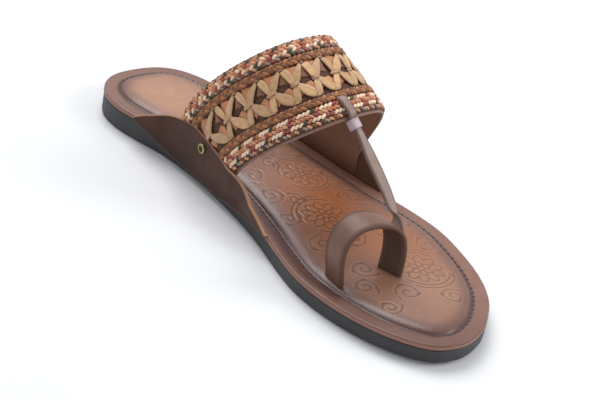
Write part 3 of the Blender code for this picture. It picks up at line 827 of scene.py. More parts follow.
def grain_group() -> bpy.types.NodeTree:
    """Leather grain: small cells, pores and long soft creases.

    Returns:
        The group, with Height and Tone.
    """
    graph, given, out = new_group(
        "leather_grain",
        (("Vector", "NodeSocketVector", None), ("Scale", "NodeSocketFloat", 900.0)),
        (("Height", "NodeSocketFloat"), ("Tone", "NodeSocketFloat")))
    cells = graph.node("ShaderNodeTexVoronoi", feature="SMOOTH_F1", in_Smoothness=0.6)
    graph.feed(cells.inputs["Vector"], given["Vector"])
    graph.feed(cells.inputs["Scale"], given["Scale"])
    fine = graph.node("ShaderNodeTexNoise", in_Detail=4.0, in_Roughness=0.6)
    graph.feed(fine.inputs["Vector"], given["Vector"])
    graph.feed(fine.inputs["Scale"], graph.math("MULTIPLY", given["Scale"], 1.9))
    crease = graph.node("ShaderNodeTexNoise", in_Detail=3.0, in_Distortion=0.8)
    graph.feed(crease.inputs["Vector"], given["Vector"])
    graph.feed(crease.inputs["Scale"], graph.math("MULTIPLY", given["Scale"], 0.12))
    height = graph.math("ADD", graph.math("MULTIPLY", cells.outputs["Distance"], 0.55),
                        graph.math("MULTIPLY", fine.outputs[0], 0.35))
    height = graph.math("ADD", height, graph.math("MULTIPLY", crease.outputs[0], 0.5))
    graph.feed(out.inputs["Height"], height)
    tone = graph.math("ADD", graph.math("MULTIPLY", crease.outputs[0], 0.7),
                      graph.math("MULTIPLY", fine.outputs[0], 0.3))
    graph.feed(out.inputs["Tone"], graph.spread(tone, 0.3, 0.7))
    return graph.tree


def fibre_group() -> bpy.types.NodeTree:
    """Dry plant or yarn fibre: fine streaks along the first map direction.

    Returns:
        The group, with Height and Tone.
    """
    graph, given, out = new_group(
        "fibre_streaks",
        (("Vector", "NodeSocketVector", None), ("Scale", "NodeSocketFloat", 1500.0)),
        (("Height", "NodeSocketFloat"), ("Tone", "NodeSocketFloat")))
    drawn = graph.stretch(given["Vector"], (0.07, 1.0, 0.35))
    fine = graph.node("ShaderNodeTexNoise", in_Detail=3.0, in_Roughness=0.7)
    graph.feed(fine.inputs["Vector"], drawn)
    graph.feed(fine.inputs["Scale"], given["Scale"])
    broad = graph.node("ShaderNodeTexNoise", in_Detail=2.0)
    graph.feed(broad.inputs["Vector"], given["Vector"])
    graph.feed(broad.inputs["Scale"], graph.math("MULTIPLY", given["Scale"], 0.16))
    graph.feed(out.inputs["Height"], fine.outputs[0])
    tone = graph.math("ADD", graph.math("MULTIPLY", fine.outputs[0], 0.6),
                      graph.math("MULTIPLY", broad.outputs[0], 0.4))
    graph.feed(out.inputs["Tone"], graph.spread(tone, 0.35, 0.65))
    return graph.tree


class Effects:
    """Shared shader groups, built once."""

    grain: bpy.types.NodeTree
    fibre: bpy.types.NodeTree

    @classmethod
    def build(cls) -> None:
        """Make the groups."""
        cls.grain = grain_group()
        cls.fibre = fibre_group()


def new_material(name: str) -> tuple[Finish, Graph, bpy.types.Node]:
    """A material with its graph and its Principled node.

    Args:
        name: Name of the material.

    Returns:
        The material, its graph and its shader.
    """
    material = bpy.data.materials.new(name)
    material.use_nodes = True
    graph = Graph(material.node_tree)
    return material, graph, material.node_tree.nodes["Principled BSDF"]


def use_group(graph: Graph, tree: bpy.types.NodeTree, vector: object,
              scale: float) -> bpy.types.Node:
    """Place a shared group with its vector and scale.

    Args:
        graph: Graph of the material.
        tree: Node group.
        vector: Coordinates.
        scale: Scale of the pattern.

    Returns:
        The group's node.
    """
    made = graph.node("ShaderNodeGroup", node_tree=tree)
    graph.feed(made.inputs["Vector"], vector)
    made.inputs["Scale"].default_value = scale
    return made


def set_bump(graph: Graph, shader: bpy.types.Node, height: object, distance: float,
             strength: float = 1.0) -> None:
    """Feed a height to the shader's normal.

    Args:
        graph: Graph of the material.
        shader: Shader to change.
        height: Height socket.
        distance: Depth of the relief.
        strength: Strength of the relief.
    """
    made = graph.node("ShaderNodeBump", in_Strength=strength, in_Distance=distance)
    graph.feed(made.inputs["Height"], height)
    graph.feed(shader.inputs["Normal"], made.outputs[0])


@dataclass(frozen=True)
class LeatherFinish:
    """Smooth leather: two tones in soft patches, grain and a waxed gloss."""

    name: str
    base: Colour
    dark: Colour
    edge: Colour
    lining: Colour
    gloss: float = 0.40
    coat: float = 0.25
    grain: float = 0.12 * MM
    scale: float = 900.0
    shine: float = 0.25

    def material(self) -> Finish:
        """Build the material; it reads "edge", "face" and "shade".

        Returns:
            The material.
        """
        material, graph, shader = new_material(self.name)
        place = graph.place()
        grain = use_group(graph, Effects.grain, place, self.scale)
        patches = graph.spread(graph.noise(place, 60.0, 3.0), 0.35, 0.68)
        colour = graph.mix(graph.math("MULTIPLY", patches, 0.75), self.base, self.dark)
        tone = graph.math("MULTIPLY", grain.outputs["Tone"], 0.35)
        colour = graph.mix(tone, colour, self.dark)
        colour = graph.mix(graph.attribute("shade"), colour, self.dark)
        colour = graph.mix(graph.spread(graph.attribute("face"), -0.1, -0.9), colour,
                           self.lining)
        colour = graph.mix(graph.attribute("edge"), colour, self.edge)
        graph.feed(shader.inputs["Base Color"], colour)
        rough = graph.spread(grain.outputs["Tone"], 0.0, 1.0, self.gloss - 0.05,
                             self.gloss + 0.10)
        rough = graph.math("ADD", rough,
                           graph.math("MULTIPLY", graph.attribute("edge"), 0.25))
        graph.feed(shader.inputs["Roughness"], rough)
        shader.inputs["Specular IOR Level"].default_value = self.shine
        shader.inputs["Coat Weight"].default_value = self.coat
        shader.inputs["Coat Roughness"].default_value = 0.32
        set_bump(graph, shader, grain.outputs["Height"], self.grain)
        return material


@dataclass(frozen=True)
class FibreFinish:
    """Straw, yarn or cord: tinted for each strand, with fibre streaks."""

    name: str
    tint: Colour = (1.0, 1.0, 1.0)
    dark: Colour = (0.05, 0.03, 0.02)
    rough: float = 0.62
    depth: float = 0.10 * MM
    scale: float = 1500.0
    mapped: bool = False
    streak: float = 0.45

    def material(self) -> Finish:
        """Build the material; it reads "tint" and "edge".

        Returns:
            The material.
        """
        material, graph, shader = new_material(self.name)
        vector = graph.map() if self.mapped else graph.place()
        fibre = use_group(graph, Effects.fibre, vector, self.scale)
        colour = graph.mix(1.0, graph.attribute("tint", True), self.tint, "MULTIPLY")
        streak = graph.math("MULTIPLY", fibre.outputs["Tone"], self.streak)
        low = graph.mix(0.62, colour, self.dark)
        colour = graph.mix(streak, colour, low)
        # painted shade: darker along the raffia strips' edges
        edge = graph.math("MULTIPLY", graph.attribute("edge"), 0.65)
        colour = graph.mix(edge, colour, low)
        graph.feed(shader.inputs["Base Color"], colour)
        graph.feed(shader.inputs["Roughness"],
                   graph.spread(fibre.outputs["Tone"], 0.0, 1.0, self.rough - 0.1,
                                self.rough + 0.12))
        shader.inputs["Sheen Weight"].default_value = 0.15
        shader.inputs["Sheen Roughness"].default_value = 0.5
        set_bump(graph, shader, fibre.outputs["Height"], self.depth)
        return material


@dataclass(frozen=True)
class NetFinish:
    """Dark braided ground with rows of small pale dots."""

    name: str
    ground: Colour
    dots: Colour

    def material(self) -> Finish:
        """Build the material; it reads the piece's own map.

        Returns:
            The material.
        """
        material, graph, shader = new_material(self.name)
        spot = graph.node("ShaderNodeTexVoronoi", in_Scale=900.0, in_Randomness=0.35)
        graph.feed(spot.inputs["Vector"], graph.stretch(graph.map(), (1.0, 0.8, 1.0)))
        mask = graph.spread(spot.outputs["Distance"], 0.38, 0.16)
        keep = graph.spread(graph.noise(graph.map(), 420.0, 2.0), 0.42, 0.6)
        colour = graph.mix(graph.math("MULTIPLY", mask, keep), self.ground, self.dots)
        graph.feed(shader.inputs["Base Color"], colour)
        graph.feed(shader.inputs["Roughness"], graph.spread(mask, 0.0, 1.0, 0.8, 0.6))
        set_bump(graph, shader, mask, 0.5 * MM)
        return material


@dataclass(frozen=True)
class FootbedFinish:
    """Hand-burnished footbed: tan middle, mauve-brown edges partly painted shade, pressed scrolls with
    painted highlights.
    """

    name: str

    def material(self) -> Finish:
        """Build the material; it reads the masks the footbed carries.

        Returns:
            The material.
        """
        material, graph, shader = new_material(self.name)
        place = graph.place()
        grain = use_group(graph, Effects.grain, place, 1100.0)
        cloud = graph.spread(graph.noise(place, 42.0, 4.0), 0.3, 0.7)
        colour = graph.mix(graph.math("MULTIPLY", cloud, 0.55), srgb(142, 104, 88),
                           srgb(122, 84, 70))
        colour = graph.mix(graph.attribute("warm"), colour, srgb(166, 102, 62))
        colour = graph.mix(graph.attribute("pale"), colour, srgb(184, 140, 112))
        # burnished edges together with painted shade in the gutter and under the pad's ridge; the
        # lighter lateral rim is a painted reflection
        colour = graph.mix(graph.attribute("burnish"), colour, srgb(78, 50, 46))
        # pressed lines: tooled tone, with painted shade added on the medial side
        pressed = graph.math("MULTIPLY", graph.attribute("emboss"), 0.72)
        colour = graph.mix(pressed, colour, srgb(80, 48, 38))
        # painted highlight on the lip beside each pressed line
        lip = graph.math("MULTIPLY", graph.attribute("lip"), 0.16)
        colour = graph.mix(lip, colour, srgb(214, 172, 140))
        colour = graph.mix(graph.attribute("raw"), colour, srgb(148, 106, 92))
        colour = graph.mix(graph.attribute("under"), colour, srgb(84, 60, 52))
        speck = graph.math("MULTIPLY", grain.outputs["Tone"], 0.22)
        colour = graph.mix(speck, colour, srgb(92, 60, 50))
        graph.feed(shader.inputs["Base Color"], colour)
        rough = graph.spread(grain.outputs["Tone"], 0.0, 1.0, 0.30, 0.44)
        rough = graph.math("ADD", rough,
                           graph.math("MULTIPLY", graph.attribute("raw"), 0.3))
        graph.feed(shader.inputs["Roughness"], rough)
        shader.inputs["Specular IOR Level"].default_value = 0.35
        shader.inputs["Coat Weight"].default_value = 0.24
        shader.inputs["Coat Roughness"].default_value = 0.26
        set_bump(graph, shader, grain.outputs["Height"], 0.10 * MM)
        return material


@dataclass(frozen=True)
class RubberFinish:
    """Matte near-black rubber with fine pits, dust and scuffs."""

    name: str
    base: Colour
    dust: Colour

    def material(self) -> Finish:
        """Build the material.

        Returns:
            The material.
        """
        material, graph, shader = new_material(self.name)
        place = graph.place()
        pits = graph.noise(place, 2600.0, 3.0, 0.7)
        cloud = graph.spread(graph.noise(place, 70.0, 4.0), 0.42, 0.75)
        colour = graph.mix(graph.math("MULTIPLY", cloud, 0.30), self.base, self.dust)
        scuff = graph.spread(graph.noise(graph.stretch(place, (1.0, 1.0, 14.0)), 260.0), 0.62,
                             0.72)
        colour = graph.mix(graph.math("MULTIPLY", scuff, 0.18), colour, self.dust)
        graph.feed(shader.inputs["Base Color"], colour)
        graph.feed(shader.inputs["Roughness"], graph.spread(cloud, 0.0, 1.0, 0.52, 0.70))
        set_bump(graph, shader, pits, 0.12 * MM)
        return material


@dataclass(frozen=True)
class BrassFinish:
    """Dull brass with worn highlights."""

    name: str

    def material(self) -> Finish:
        """Build the material.

        Returns:
            The material.
        """
        material, graph, shader = new_material(self.name)
        place = graph.place()
        stain = graph.spread(graph.noise(place, 900.0, 4.0), 0.35, 0.7)
        colour = graph.mix(stain, srgb(196, 186, 124), srgb(128, 114, 74))
        colour = graph.mix(graph.attribute("shade"), colour, srgb(52, 42, 30))
        graph.feed(shader.inputs["Base Color"], colour)
        shader.inputs["Metallic"].default_value = 0.85
        graph.feed(shader.inputs["Roughness"], graph.spread(stain, 0.0, 1.0, 0.28, 0.5))
        set_bump(graph, shader, graph.noise(place, 3000.0), 0.03 * MM)
        return material


# Geometry Nodes

class NodeTool:
    """A Geometry Nodes tree with named inputs, used as a modifier."""

    name = ""

    def __init__(self) -> None:
        """Start the tree with its geometry sockets and build the rest."""
        self.tree = bpy.data.node_groups.new(self.name, "GeometryNodeTree")
        self.graph = Graph(self.tree)
        self.ids: dict[str, str] = {}
        self.socket("Geometry", "NodeSocketGeometry")
        self.tree.interface.new_socket("Geometry", in_out="OUTPUT",
                                       socket_type="NodeSocketGeometry")
        self.build()

    def socket(self, label: str, kind: str, value: object = None) -> None:
        """Add a named input.

        Args:
            label: Name of the input.
            kind: Blender's name of the kind.
            value: Value that it starts with.
        """
        made = self.tree.interface.new_socket(label, in_out="INPUT", socket_type=kind)
        if value is not None:
            made.default_value = value
        self.ids[label] = made.identifier

    def build(self) -> None:
        """Add the nodes; each tool has its own."""

    def named(self, name: str, kind: str) -> Socket:
        """A named attribute of the incoming points.

        Args:
            name: Name of the attribute.
            kind: Blender's name of the kind.

        Returns:
            The attribute's socket.
        """
        made = self.graph.node("GeometryNodeInputNamedAttribute", data_type=kind)
        made.inputs["Name"].default_value = name
        return made.outputs["Attribute"]

    def run(self, obj: Piece, **inputs: object) -> Piece:
        """Apply the tree to an object and leave a plain mesh.

        Args:
            obj: Object whose mesh feeds the tree.
            **inputs: Values of the named inputs, with _ for a space.

        Returns:
            The same object with the finished mesh.
        """
        modifier = obj.modifiers.new(self.name, "NODES")
        modifier.node_group = self.tree
        for key, value in inputs.items():
            modifier[self.ids[key.replace("_", " ")]] = value
        bpy.context.view_layer.update()
        graph = bpy.context.evaluated_depsgraph_get()
        made = bpy.data.meshes.new_from_object(obj.evaluated_get(graph))
        obj.modifiers.clear()
        old, name = obj.data, obj.name
        obj.data = made
        bpy.data.meshes.remove(old)
        made.name = name
        return obj


class ScatterTool(NodeTool):
    """Sets a small unit on every point, turned by the point's own axes."""

    name = "set_units"

    def build(self) -> None:
        """Points, turn, size, instances, realize and material."""
        self.socket("Unit", "NodeSocketObject")
        self.socket("Size", "NodeSocketFloat", 1.0)
        self.socket("Variation", "NodeSocketFloat", 0.08)
        self.socket("Seed", "NodeSocketInt", 3)
        self.socket("Finish", "NodeSocketMaterial")
        graph = self.graph
        given = graph.node("NodeGroupInput").outputs
        points = graph.node("GeometryNodeMeshToPoints", in_Mesh=given["Geometry"])
        unit_info = graph.node("GeometryNodeObjectInfo", in_Object=given["Unit"])
        stand = graph.node("FunctionNodeAlignRotationToVector", axis="Z")
        graph.feed(stand.inputs["Vector"], self.named("up", "FLOAT_VECTOR"))
        turn = graph.node("FunctionNodeAlignRotationToVector", axis="X", pivot_axis="Z")
        graph.feed(turn.inputs["Rotation"], stand.outputs[0])
        graph.feed(turn.inputs["Vector"], self.named("run", "FLOAT_VECTOR"))
        jitter = graph.node("FunctionNodeRandomValue", data_type="FLOAT")
        graph.feed(jitter.inputs[2], graph.math("SUBTRACT", 1.0, given["Variation"]))
        graph.feed(jitter.inputs[3], graph.math("ADD", 1.0, given["Variation"]))
        graph.feed(jitter.inputs["Seed"], given["Seed"])
        size = graph.math("MULTIPLY", jitter.outputs[1], given["Size"])
        size = graph.math("MULTIPLY", size, self.named("size", "FLOAT"))
        placed = graph.node("GeometryNodeInstanceOnPoints", in_Points=points.outputs[0],
                            in_Instance=unit_info.outputs["Geometry"],
                            in_Rotation=turn.outputs[0])
        graph.feed(placed.inputs["Scale"], size)
        real = graph.node("GeometryNodeRealizeInstances", in_Geometry=placed.outputs[0])
        smooth = graph.node("GeometryNodeSetShadeSmooth", in_Geometry=real.outputs[0])
        paint = graph.node("GeometryNodeSetMaterial", in_Geometry=smooth.outputs[0],
                           in_Material=given["Finish"])
        graph.node("NodeGroupOutput", in_Geometry=paint.outputs[0])


class CordTool(NodeTool):
    """Sweeps a round cord along lines, thick as each point says."""

    name = "sweep_cords"

    def build(self) -> None:
        """Lines to curves, radius, sweep, realize and material."""
        self.socket("Thickness", "NodeSocketFloat", 1.0)
        self.socket("Sides", "NodeSocketInt", 8)
        self.socket("Finish", "NodeSocketMaterial")
        graph = self.graph
        given = graph.node("NodeGroupInput").outputs
        curve = graph.node("GeometryNodeMeshToCurve", in_Mesh=given["Geometry"])
        size = graph.math("MULTIPLY", self.named("radius", "FLOAT"), given["Thickness"])
        thick = graph.node("GeometryNodeSetCurveRadius", in_Curve=curve.outputs[0])
        graph.feed(thick.inputs["Radius"], size)
        circle = graph.node("GeometryNodeCurvePrimitiveCircle")
        graph.feed(circle.inputs["Resolution"], given["Sides"])
        circle.inputs["Radius"].default_value = 1.0
        swept = graph.node("GeometryNodeCurveToMesh", in_Curve=thick.outputs[0])
        graph.feed(swept.inputs["Profile Curve"], circle.outputs["Curve"])
        swept.inputs["Fill Caps"].default_value = True
        if "Scale" in swept.inputs:
            graph.feed(swept.inputs["Scale"], size)
        real = graph.node("GeometryNodeRealizeInstances", in_Geometry=swept.outputs[0])
        smooth = graph.node("GeometryNodeSetShadeSmooth", in_Geometry=real.outputs[0])
        paint = graph.node("GeometryNodeSetMaterial", in_Geometry=smooth.outputs[0],
                           in_Material=given["Finish"])
        graph.node("NodeGroupOutput", in_Geometry=paint.outputs[0])


def line_mesh(name: str, lines: Sequence[tuple[Array, Array, Colour]]) -> Piece:
    """Loose lines with a radius and a tint at each point.

    Args:
        name: Name of the object.
        lines: Points, radii and tint of each line.

    Returns:
        An object of edges for the cord tool.
    """
    points, edges, radii, tints = [], [], [], []
    start = 0
    for path, radius, tint in lines:
        count = len(path)
        points.append(path)
        radii.append(np.broadcast_to(radius, count))
        tints.append(np.broadcast_to(np.asarray(tint, float), (count, 3)))
        edges.extend((start + i, start + i + 1) for i in range(count - 1))
        start += count
    mesh = bpy.data.meshes.new(name)
    mesh.from_pydata(np.concatenate(points).tolist(), edges, [])
    layer = mesh.attributes.new("radius", "FLOAT", "POINT")
    layer.data.foreach_set("value", np.concatenate(radii).astype(np.float32))
    rgba = np.ones((start, 4), np.float32)
    rgba[:, :3] = np.concatenate(tints)
    layer = mesh.attributes.new("tint", "FLOAT_COLOR", "POINT")
    layer.data.foreach_set("color", rgba.ravel())
    obj = bpy.data.objects.new(name, mesh)
    bpy.context.scene.collection.objects.link(obj)
    return obj


def point_mesh(name: str, points: Array, runs: Array, ups: Array, sizes: Array,
               tints: Array) -> Piece:
    """Loose points with axes, size and tint for the scatter tool.

    Args:
        name: Name of the piece.
        points: Rows of x, y and z.
        runs: Direction of each unit.
        ups: Upward direction of each.
        sizes: Scale of each.
        tints: Colour of each.

    Returns:
        The object, linked to the scene.
    """
    mesh = bpy.data.meshes.new(name)
    mesh.from_pydata(np.asarray(points, float).tolist(), [], [])
    for key, values in (("run", runs), ("up", ups)):
        layer = mesh.attributes.new(key, "FLOAT_VECTOR", "POINT")
        layer.data.foreach_set("vector", np.asarray(values, np.float32).ravel())
    layer = mesh.attributes.new("size", "FLOAT", "POINT")
    layer.data.foreach_set("value", np.broadcast_to(sizes, len(points)).astype(np.float32))
    rgba = np.ones((len(points), 4), np.float32)
    rgba[:, :3] = tints
    layer = mesh.attributes.new("tint", "FLOAT_COLOR", "POINT")
    layer.data.foreach_set("color", rgba.ravel())
    obj = bpy.data.objects.new(name, mesh)
    bpy.context.scene.collection.objects.link(obj)
    return obj


@dataclass
class Units:
    """Small shapes that the scatter tool repeats."""

    hidden: list = field(default_factory=list)

    def grain(self, name: str, length: float, width: float, height: float,
              bend: float = 0.0, sides: int = 8, rings: int = 7) -> Piece:
        """A spindle along X, such as a stitch or one bight of a braid.

        Args:
            name: Name of the unit.
            length: Length along X.
            width: Greatest width along Y.
            height: Greatest height along Z.
            bend: How far its two ends turn down.
            sides: Points round it.
            rings: Rings along it.

        Returns:
            The unit, hidden from the render.
        """
        angles = np.linspace(0, 2 * math.pi, sides, endpoint=False)
        points = []
        for i in range(rings):
            part = (i + 0.5) / rings * 2 - 1
            swell = math.sqrt(max(1 - abs(part) ** 2.4, 0.0))
            for angle in angles:
                points.append((part * length / 2, math.cos(angle) * swell * width / 2,
                               math.sin(angle) * swell * height / 2 - bend * part ** 2))
        faces = ring_faces(rings, sides)
        return self.keep(mesh_piece(name, np.array(points), faces))

    def keep(self, obj: Piece) -> Piece:
        """Remember a unit so that it is removed at the end."""
        self.hidden.append(obj)
        return obj

    def clear(self) -> None:
        """Remove the units."""
        for obj in self.hidden:
            bpy.data.objects.remove(obj, do_unlink=True)
        self.hidden.clear()


class Yarn(Enum):
    """Colours of the braids' yarns."""

    CREAM = srgb(244, 214, 182)
    TAN = srgb(208, 154, 112)
    OCHRE = srgb(194, 120, 82)
    BROWN = srgb(124, 74, 50)
    RED = srgb(150, 62, 54)
    GREEN = srgb(52, 66, 40)
    PLUM = srgb(86, 46, 50)
    GREY = srgb(150, 138, 120)
    DARK = srgb(48, 30, 26)


@dataclass
class BraidRow:
    """One row of slanted bights in a flat braid."""

    along: float
    pitch: float
    slant: float
    lift: float
    yarns: tuple
    phase: float = 0.0
    size: float = 1.0


class Anchor(Enum):
    """Where one end of a raffia strip is measured from."""

    HERE = 0
    THERE = 1
    CENTRE = 2
    REAR = 3
    FRONT = 4


@dataclass(frozen=True)
class StripPlan:
    """One strip of the lattice, from anchor, steps and distance along at each end; sizes in mm."""

    start: tuple
    end: tuple
    widths: tuple
    heights: tuple
    colour: Colour
    bow: float = 0.0


PALE, WARM, DEEP = srgb(208, 166, 120), srgb(204, 134, 84), srgb(140, 88, 56)
RAFFIA_STRIPS = (
    # fills between the arches, and the shade inside each arch
    StripPlan((Anchor.HERE, 0.0, 0.022), (Anchor.REAR, -0.5, 0.008),
              (1.2, 4.4, 6.8, 6.4), (1.2, 1.1, 0.8), WARM),
    StripPlan((Anchor.CENTRE, 0.1, 0.05), (Anchor.REAR, 0.0, -0.02),
              (4.6, 2.4, 1.0), (0.75, 0.95, 1.0), DEEP),
    StripPlan((Anchor.FRONT, 0.0, 0.012), (Anchor.CENTRE, 0.0, -0.03),
              (1.4, 4.4, 7.0, 5.0), (1.1, 1.1, 0.9), WARM),
    StripPlan((Anchor.HERE, -0.02, -0.05), (Anchor.FRONT, -0.5, 0.07),
              (1.6, 3.2, 4.6), (0.9, 0.8, 0.7), WARM),
    # legs of the rear arch and arms of the front one
    StripPlan((Anchor.HERE, 0.05, 0.012), (Anchor.REAR, -0.07, 0.0),
              (3.3, 4.4, 4.0, 2.9, 1.9), (1.3, 1.8, 1.9, 1.5), PALE, 0.3),
    StripPlan((Anchor.THERE, -0.04, 0.014), (Anchor.REAR, 0.10, -0.006),
              (2.0, 3.1, 3.7, 3.9, 3.2), (1.4, 1.9, 2.1, 1.8), PALE, -0.3),
    StripPlan((Anchor.THERE, 0.02, -0.012), (Anchor.FRONT, 0.10, 0.0),
              (2.3, 3.4, 3.7, 3.2), (1.3, 1.8, 1.9, 1.3), PALE),
    StripPlan((Anchor.HERE, 0.12, -0.010), (Anchor.FRONT, -0.02, 0.010),
              (2.0, 3.7, 4.9, 5.1, 3.3), (1.4, 2.0, 2.1, 1.8, 1.3), PALE, -0.5),
    # wrapped knots on the middle line and at the tips
    StripPlan((Anchor.HERE, -0.20, -0.012), (Anchor.HERE, 0.24, 0.010),
              (1.2, 2.3, 2.1, 1.1), (1.4, 2.3, 2.2, 1.5), srgb(194, 152, 112)),
    StripPlan((Anchor.REAR, -0.13, 0.012), (Anchor.REAR, 0.15, 0.012),
              (0.9, 1.2, 0.9), (1.2, 1.9, 1.2), srgb(150, 112, 84)),
    StripPlan((Anchor.FRONT, -0.10, -0.006), (Anchor.FRONT, 0.16, -0.006),
              (0.8, 1.2, 0.8), (1.2, 1.7, 1.2), srgb(186, 150, 110)),
)


@dataclass
class WovenBand:
    """The instep band: ground, lining, braids, ropes and the raffia lattice."""

    units: Units
    scatter: ScatterTool
    cords: CordTool
    lining_depth: float = 1.5 * MM
    rope_places: tuple = ((0.230, 0.283), (0.748, 0.806))
    rope_radius: float = 0.84 * MM
    rope_pitch: float = 6.6 * MM
    strip_rows: int = 13
    strip_sides: int = 18
    centre: float = 0.52
    rear_tip: float = 0.712
    front_tip: float = 0.326
    rear_shift: float = 0.30
    front_shift: float = 0.12
    tint_change: float = 0.14
    plans: tuple = RAFFIA_STRIPS
    knots: tuple = (0.012, 0.09, 0.168, 0.254, 0.345, 0.431, 0.503, 0.565, 0.628, 0.692,
                    0.757, 0.823, 0.889, 0.955, 1.02)
    front_rows: tuple = (
        BraidRow(0.178, 2.05 * MM, -34.0, 1.55 * MM,
                 (Yarn.CREAM, Yarn.CREAM, Yarn.CREAM, Yarn.RED, Yarn.OCHRE,
                  Yarn.CREAM, Yarn.CREAM, Yarn.CREAM, Yarn.GREEN, Yarn.OCHRE), 0.6),
        BraidRow(0.130, 2.05 * MM, 34.0, 1.65 * MM,
                 (Yarn.TAN, Yarn.OCHRE, Yarn.OCHRE, Yarn.TAN, Yarn.RED, Yarn.OCHRE), 0.0),
        BraidRow(0.082, 2.05 * MM, -34.0, 1.55 * MM,
                 (Yarn.CREAM, Yarn.CREAM, Yarn.CREAM, Yarn.RED, Yarn.RED,
                  Yarn.CREAM, Yarn.CREAM, Yarn.CREAM, Yarn.GREEN, Yarn.OCHRE), 3.6),
        BraidRow(0.034, 2.05 * MM, 34.0, 1.15 * MM,
                 (Yarn.TAN, Yarn.BROWN, Yarn.TAN, Yarn.PLUM, Yarn.GREY), 0.0, 0.92),
    )
    rear_rows: tuple = (
        BraidRow(0.858, 2.3 * MM, 30.0, 1.2 * MM,
                 (Yarn.GREY, Yarn.PLUM, Yarn.TAN, Yarn.GREEN, Yarn.BROWN, Yarn.GREY,
                  Yarn.RED), 0.0),
        BraidRow(0.893, 2.3 * MM, -30.0, 1.5 * MM,
                 (Yarn.CREAM, Yarn.TAN, Yarn.CREAM, Yarn.GREEN, Yarn.CREAM, Yarn.OCHRE,
                  Yarn.RED), 0.4),
        BraidRow(0.930, 2.3 * MM, 30.0, 1.6 * MM,
                 (Yarn.TAN, Yarn.OCHRE, Yarn.CREAM, Yarn.TAN, Yarn.RED, Yarn.OCHRE), 0.2),
        BraidRow(0.966, 2.3 * MM, -30.0, 1.3 * MM,
                 (Yarn.OCHRE, Yarn.TAN, Yarn.BROWN, Yarn.TAN, Yarn.OCHRE, Yarn.GREEN), 0.0),
    )

    def shell(self, name: str, low: float, high: float, first: float, last: float,
              depth: float, top: float) -> Piece:
        """A closed sheet on the band between two depths.

        Args:
            name: Name of the piece.
            low: First part across the foot.
            high: Last part across the foot.
            first: First place along the width.
            last: Last place along the width.
            depth: Height of the lower face over the base.
            top: Height of the upper face over the base.

        Returns:
            The sheet with a map in metres and a "face" attribute.
        """
        parts = np.linspace(low, high, 161)
        across = np.linspace(first, last, 25)
        radius = (top - depth) / 2
        ring = [(a, top, 1.0) for a in across]
        turn = np.linspace(90, -90, 6)[1:-1]
        per = 1.0 / (45.0 * MM)
        ring += [(last + radius * per * math.cos(math.radians(t)),
                  (top + depth) / 2 + radius * math.sin(math.radians(t)), 0.0) for t in turn]
        ring += [(a, depth, -1.0) for a in across[::-1]]
        ring += [(first - radius * per * math.cos(math.radians(t)),
                  (top + depth) / 2 - radius * math.sin(math.radians(t)), 0.0) for t in turn]
        table = np.array(ring)
        grid_part, grid_along = np.meshgrid(parts, table[:, 0], indexing="ij")
        _, lengths = BAND.ruler(0.5)
        points = BAND.place(grid_part, grid_along, table[:, 1][None, :])
        points = np.concatenate([self.foot_ring(points[0]), points, self.foot_ring(points[-1])])
        rows = len(parts) + 2
        spread = np.concatenate(([parts[0]], parts, [parts[-1]]))
        maps = np.stack(np.meshgrid(np.interp(spread, np.linspace(0, 1, 401), lengths),
                                    table[:, 0] * 45 * MM, indexing="ij"), axis=-1)
        face = np.broadcast_to(table[:, 2], (rows, len(table)))
        edge = (np.abs(face) < 0.5).astype(float)
        points = points.reshape(rows, len(table), 3)
        return mesh_piece(name, points.reshape(-1, 3), ring_faces(rows, len(table)),
                          {"face": face.ravel(), "edge": edge.ravel()}, maps.reshape(-1, 2))

    @staticmethod
    def foot_ring(ring: Array) -> Array:
        """The band's end carried straight down inside the flap.

        Args:
            ring: Corners of the band's end.

        Returns:
            One row of corners lower down.
        """
        low = ring.copy()
        share = 0.5 - ring[:, 1] / LENGTH
        low[:, 2] = SOLE.rim_top(share) + 0.5 * MM
        return low[None]

    def build_ground(self, lining: Finish, net: Finish) -> None:
        """The lining wall and the dark ground on it.

        Args:
            lining: Finish of the lining.
            net: Finish of the ground.
        """
        wall = self.shell("band_lining", 0.0, 1.0, 0.0, 1.0, -self.lining_depth, 0.1 * MM)
        dress(wall, lining, "upper_leather", "upper")
        ground = self.shell("band_ground", 0.0, 1.0, 0.012, 0.988, 0.15 * MM, 0.75 * MM)
        dress(ground, net, "upper_leather")

    def braid(self, name: str, rows: Sequence[BraidRow], material: Finish,
              length: float, seed: int) -> None:
        """A flat braid of slanted bights.

        Args:
            name: Name of the piece.
            rows: The braid's rows.
            material: Finish of the yarns.
            length: Length of one bight.
            seed: Seed of the size variation.
        """
        bight = self.units.grain(name + "_bight", length, 0.47 * length, 0.42 * length,
                                 0.30 * MM)
        points, runs, ups, tints, sizes = [], [], [], [], []
        for row in rows:
            total = BAND.ruler(row.along)[1][-1]
            count = int(total / row.pitch)
            where = (np.arange(count) + 0.5) * row.pitch
            part = BAND.part_at(row.along, where)
            run, back, normal = BAND.axes(part, row.along)
            turn = math.radians(row.slant)
            points.append(BAND.place(part, row.along, row.lift))
            runs.append(run * math.cos(turn) - back * math.sin(turn))
            ups.append(normal)
            number = np.floor(np.arange(count) + row.phase).astype(int)
            tints.append([row.yarns[k % len(row.yarns)].value for k in number])
            sizes.append(np.full(count, row.size))
        obj = point_mesh(name, np.concatenate(points), np.concatenate(runs),
                         np.concatenate(ups), np.concatenate(sizes), np.concatenate(tints))
        self.scatter.run(obj, Unit=bight, Size=1.0, Variation=0.07, Seed=seed, Finish=material)
        dress(obj, material, "upper_leather")

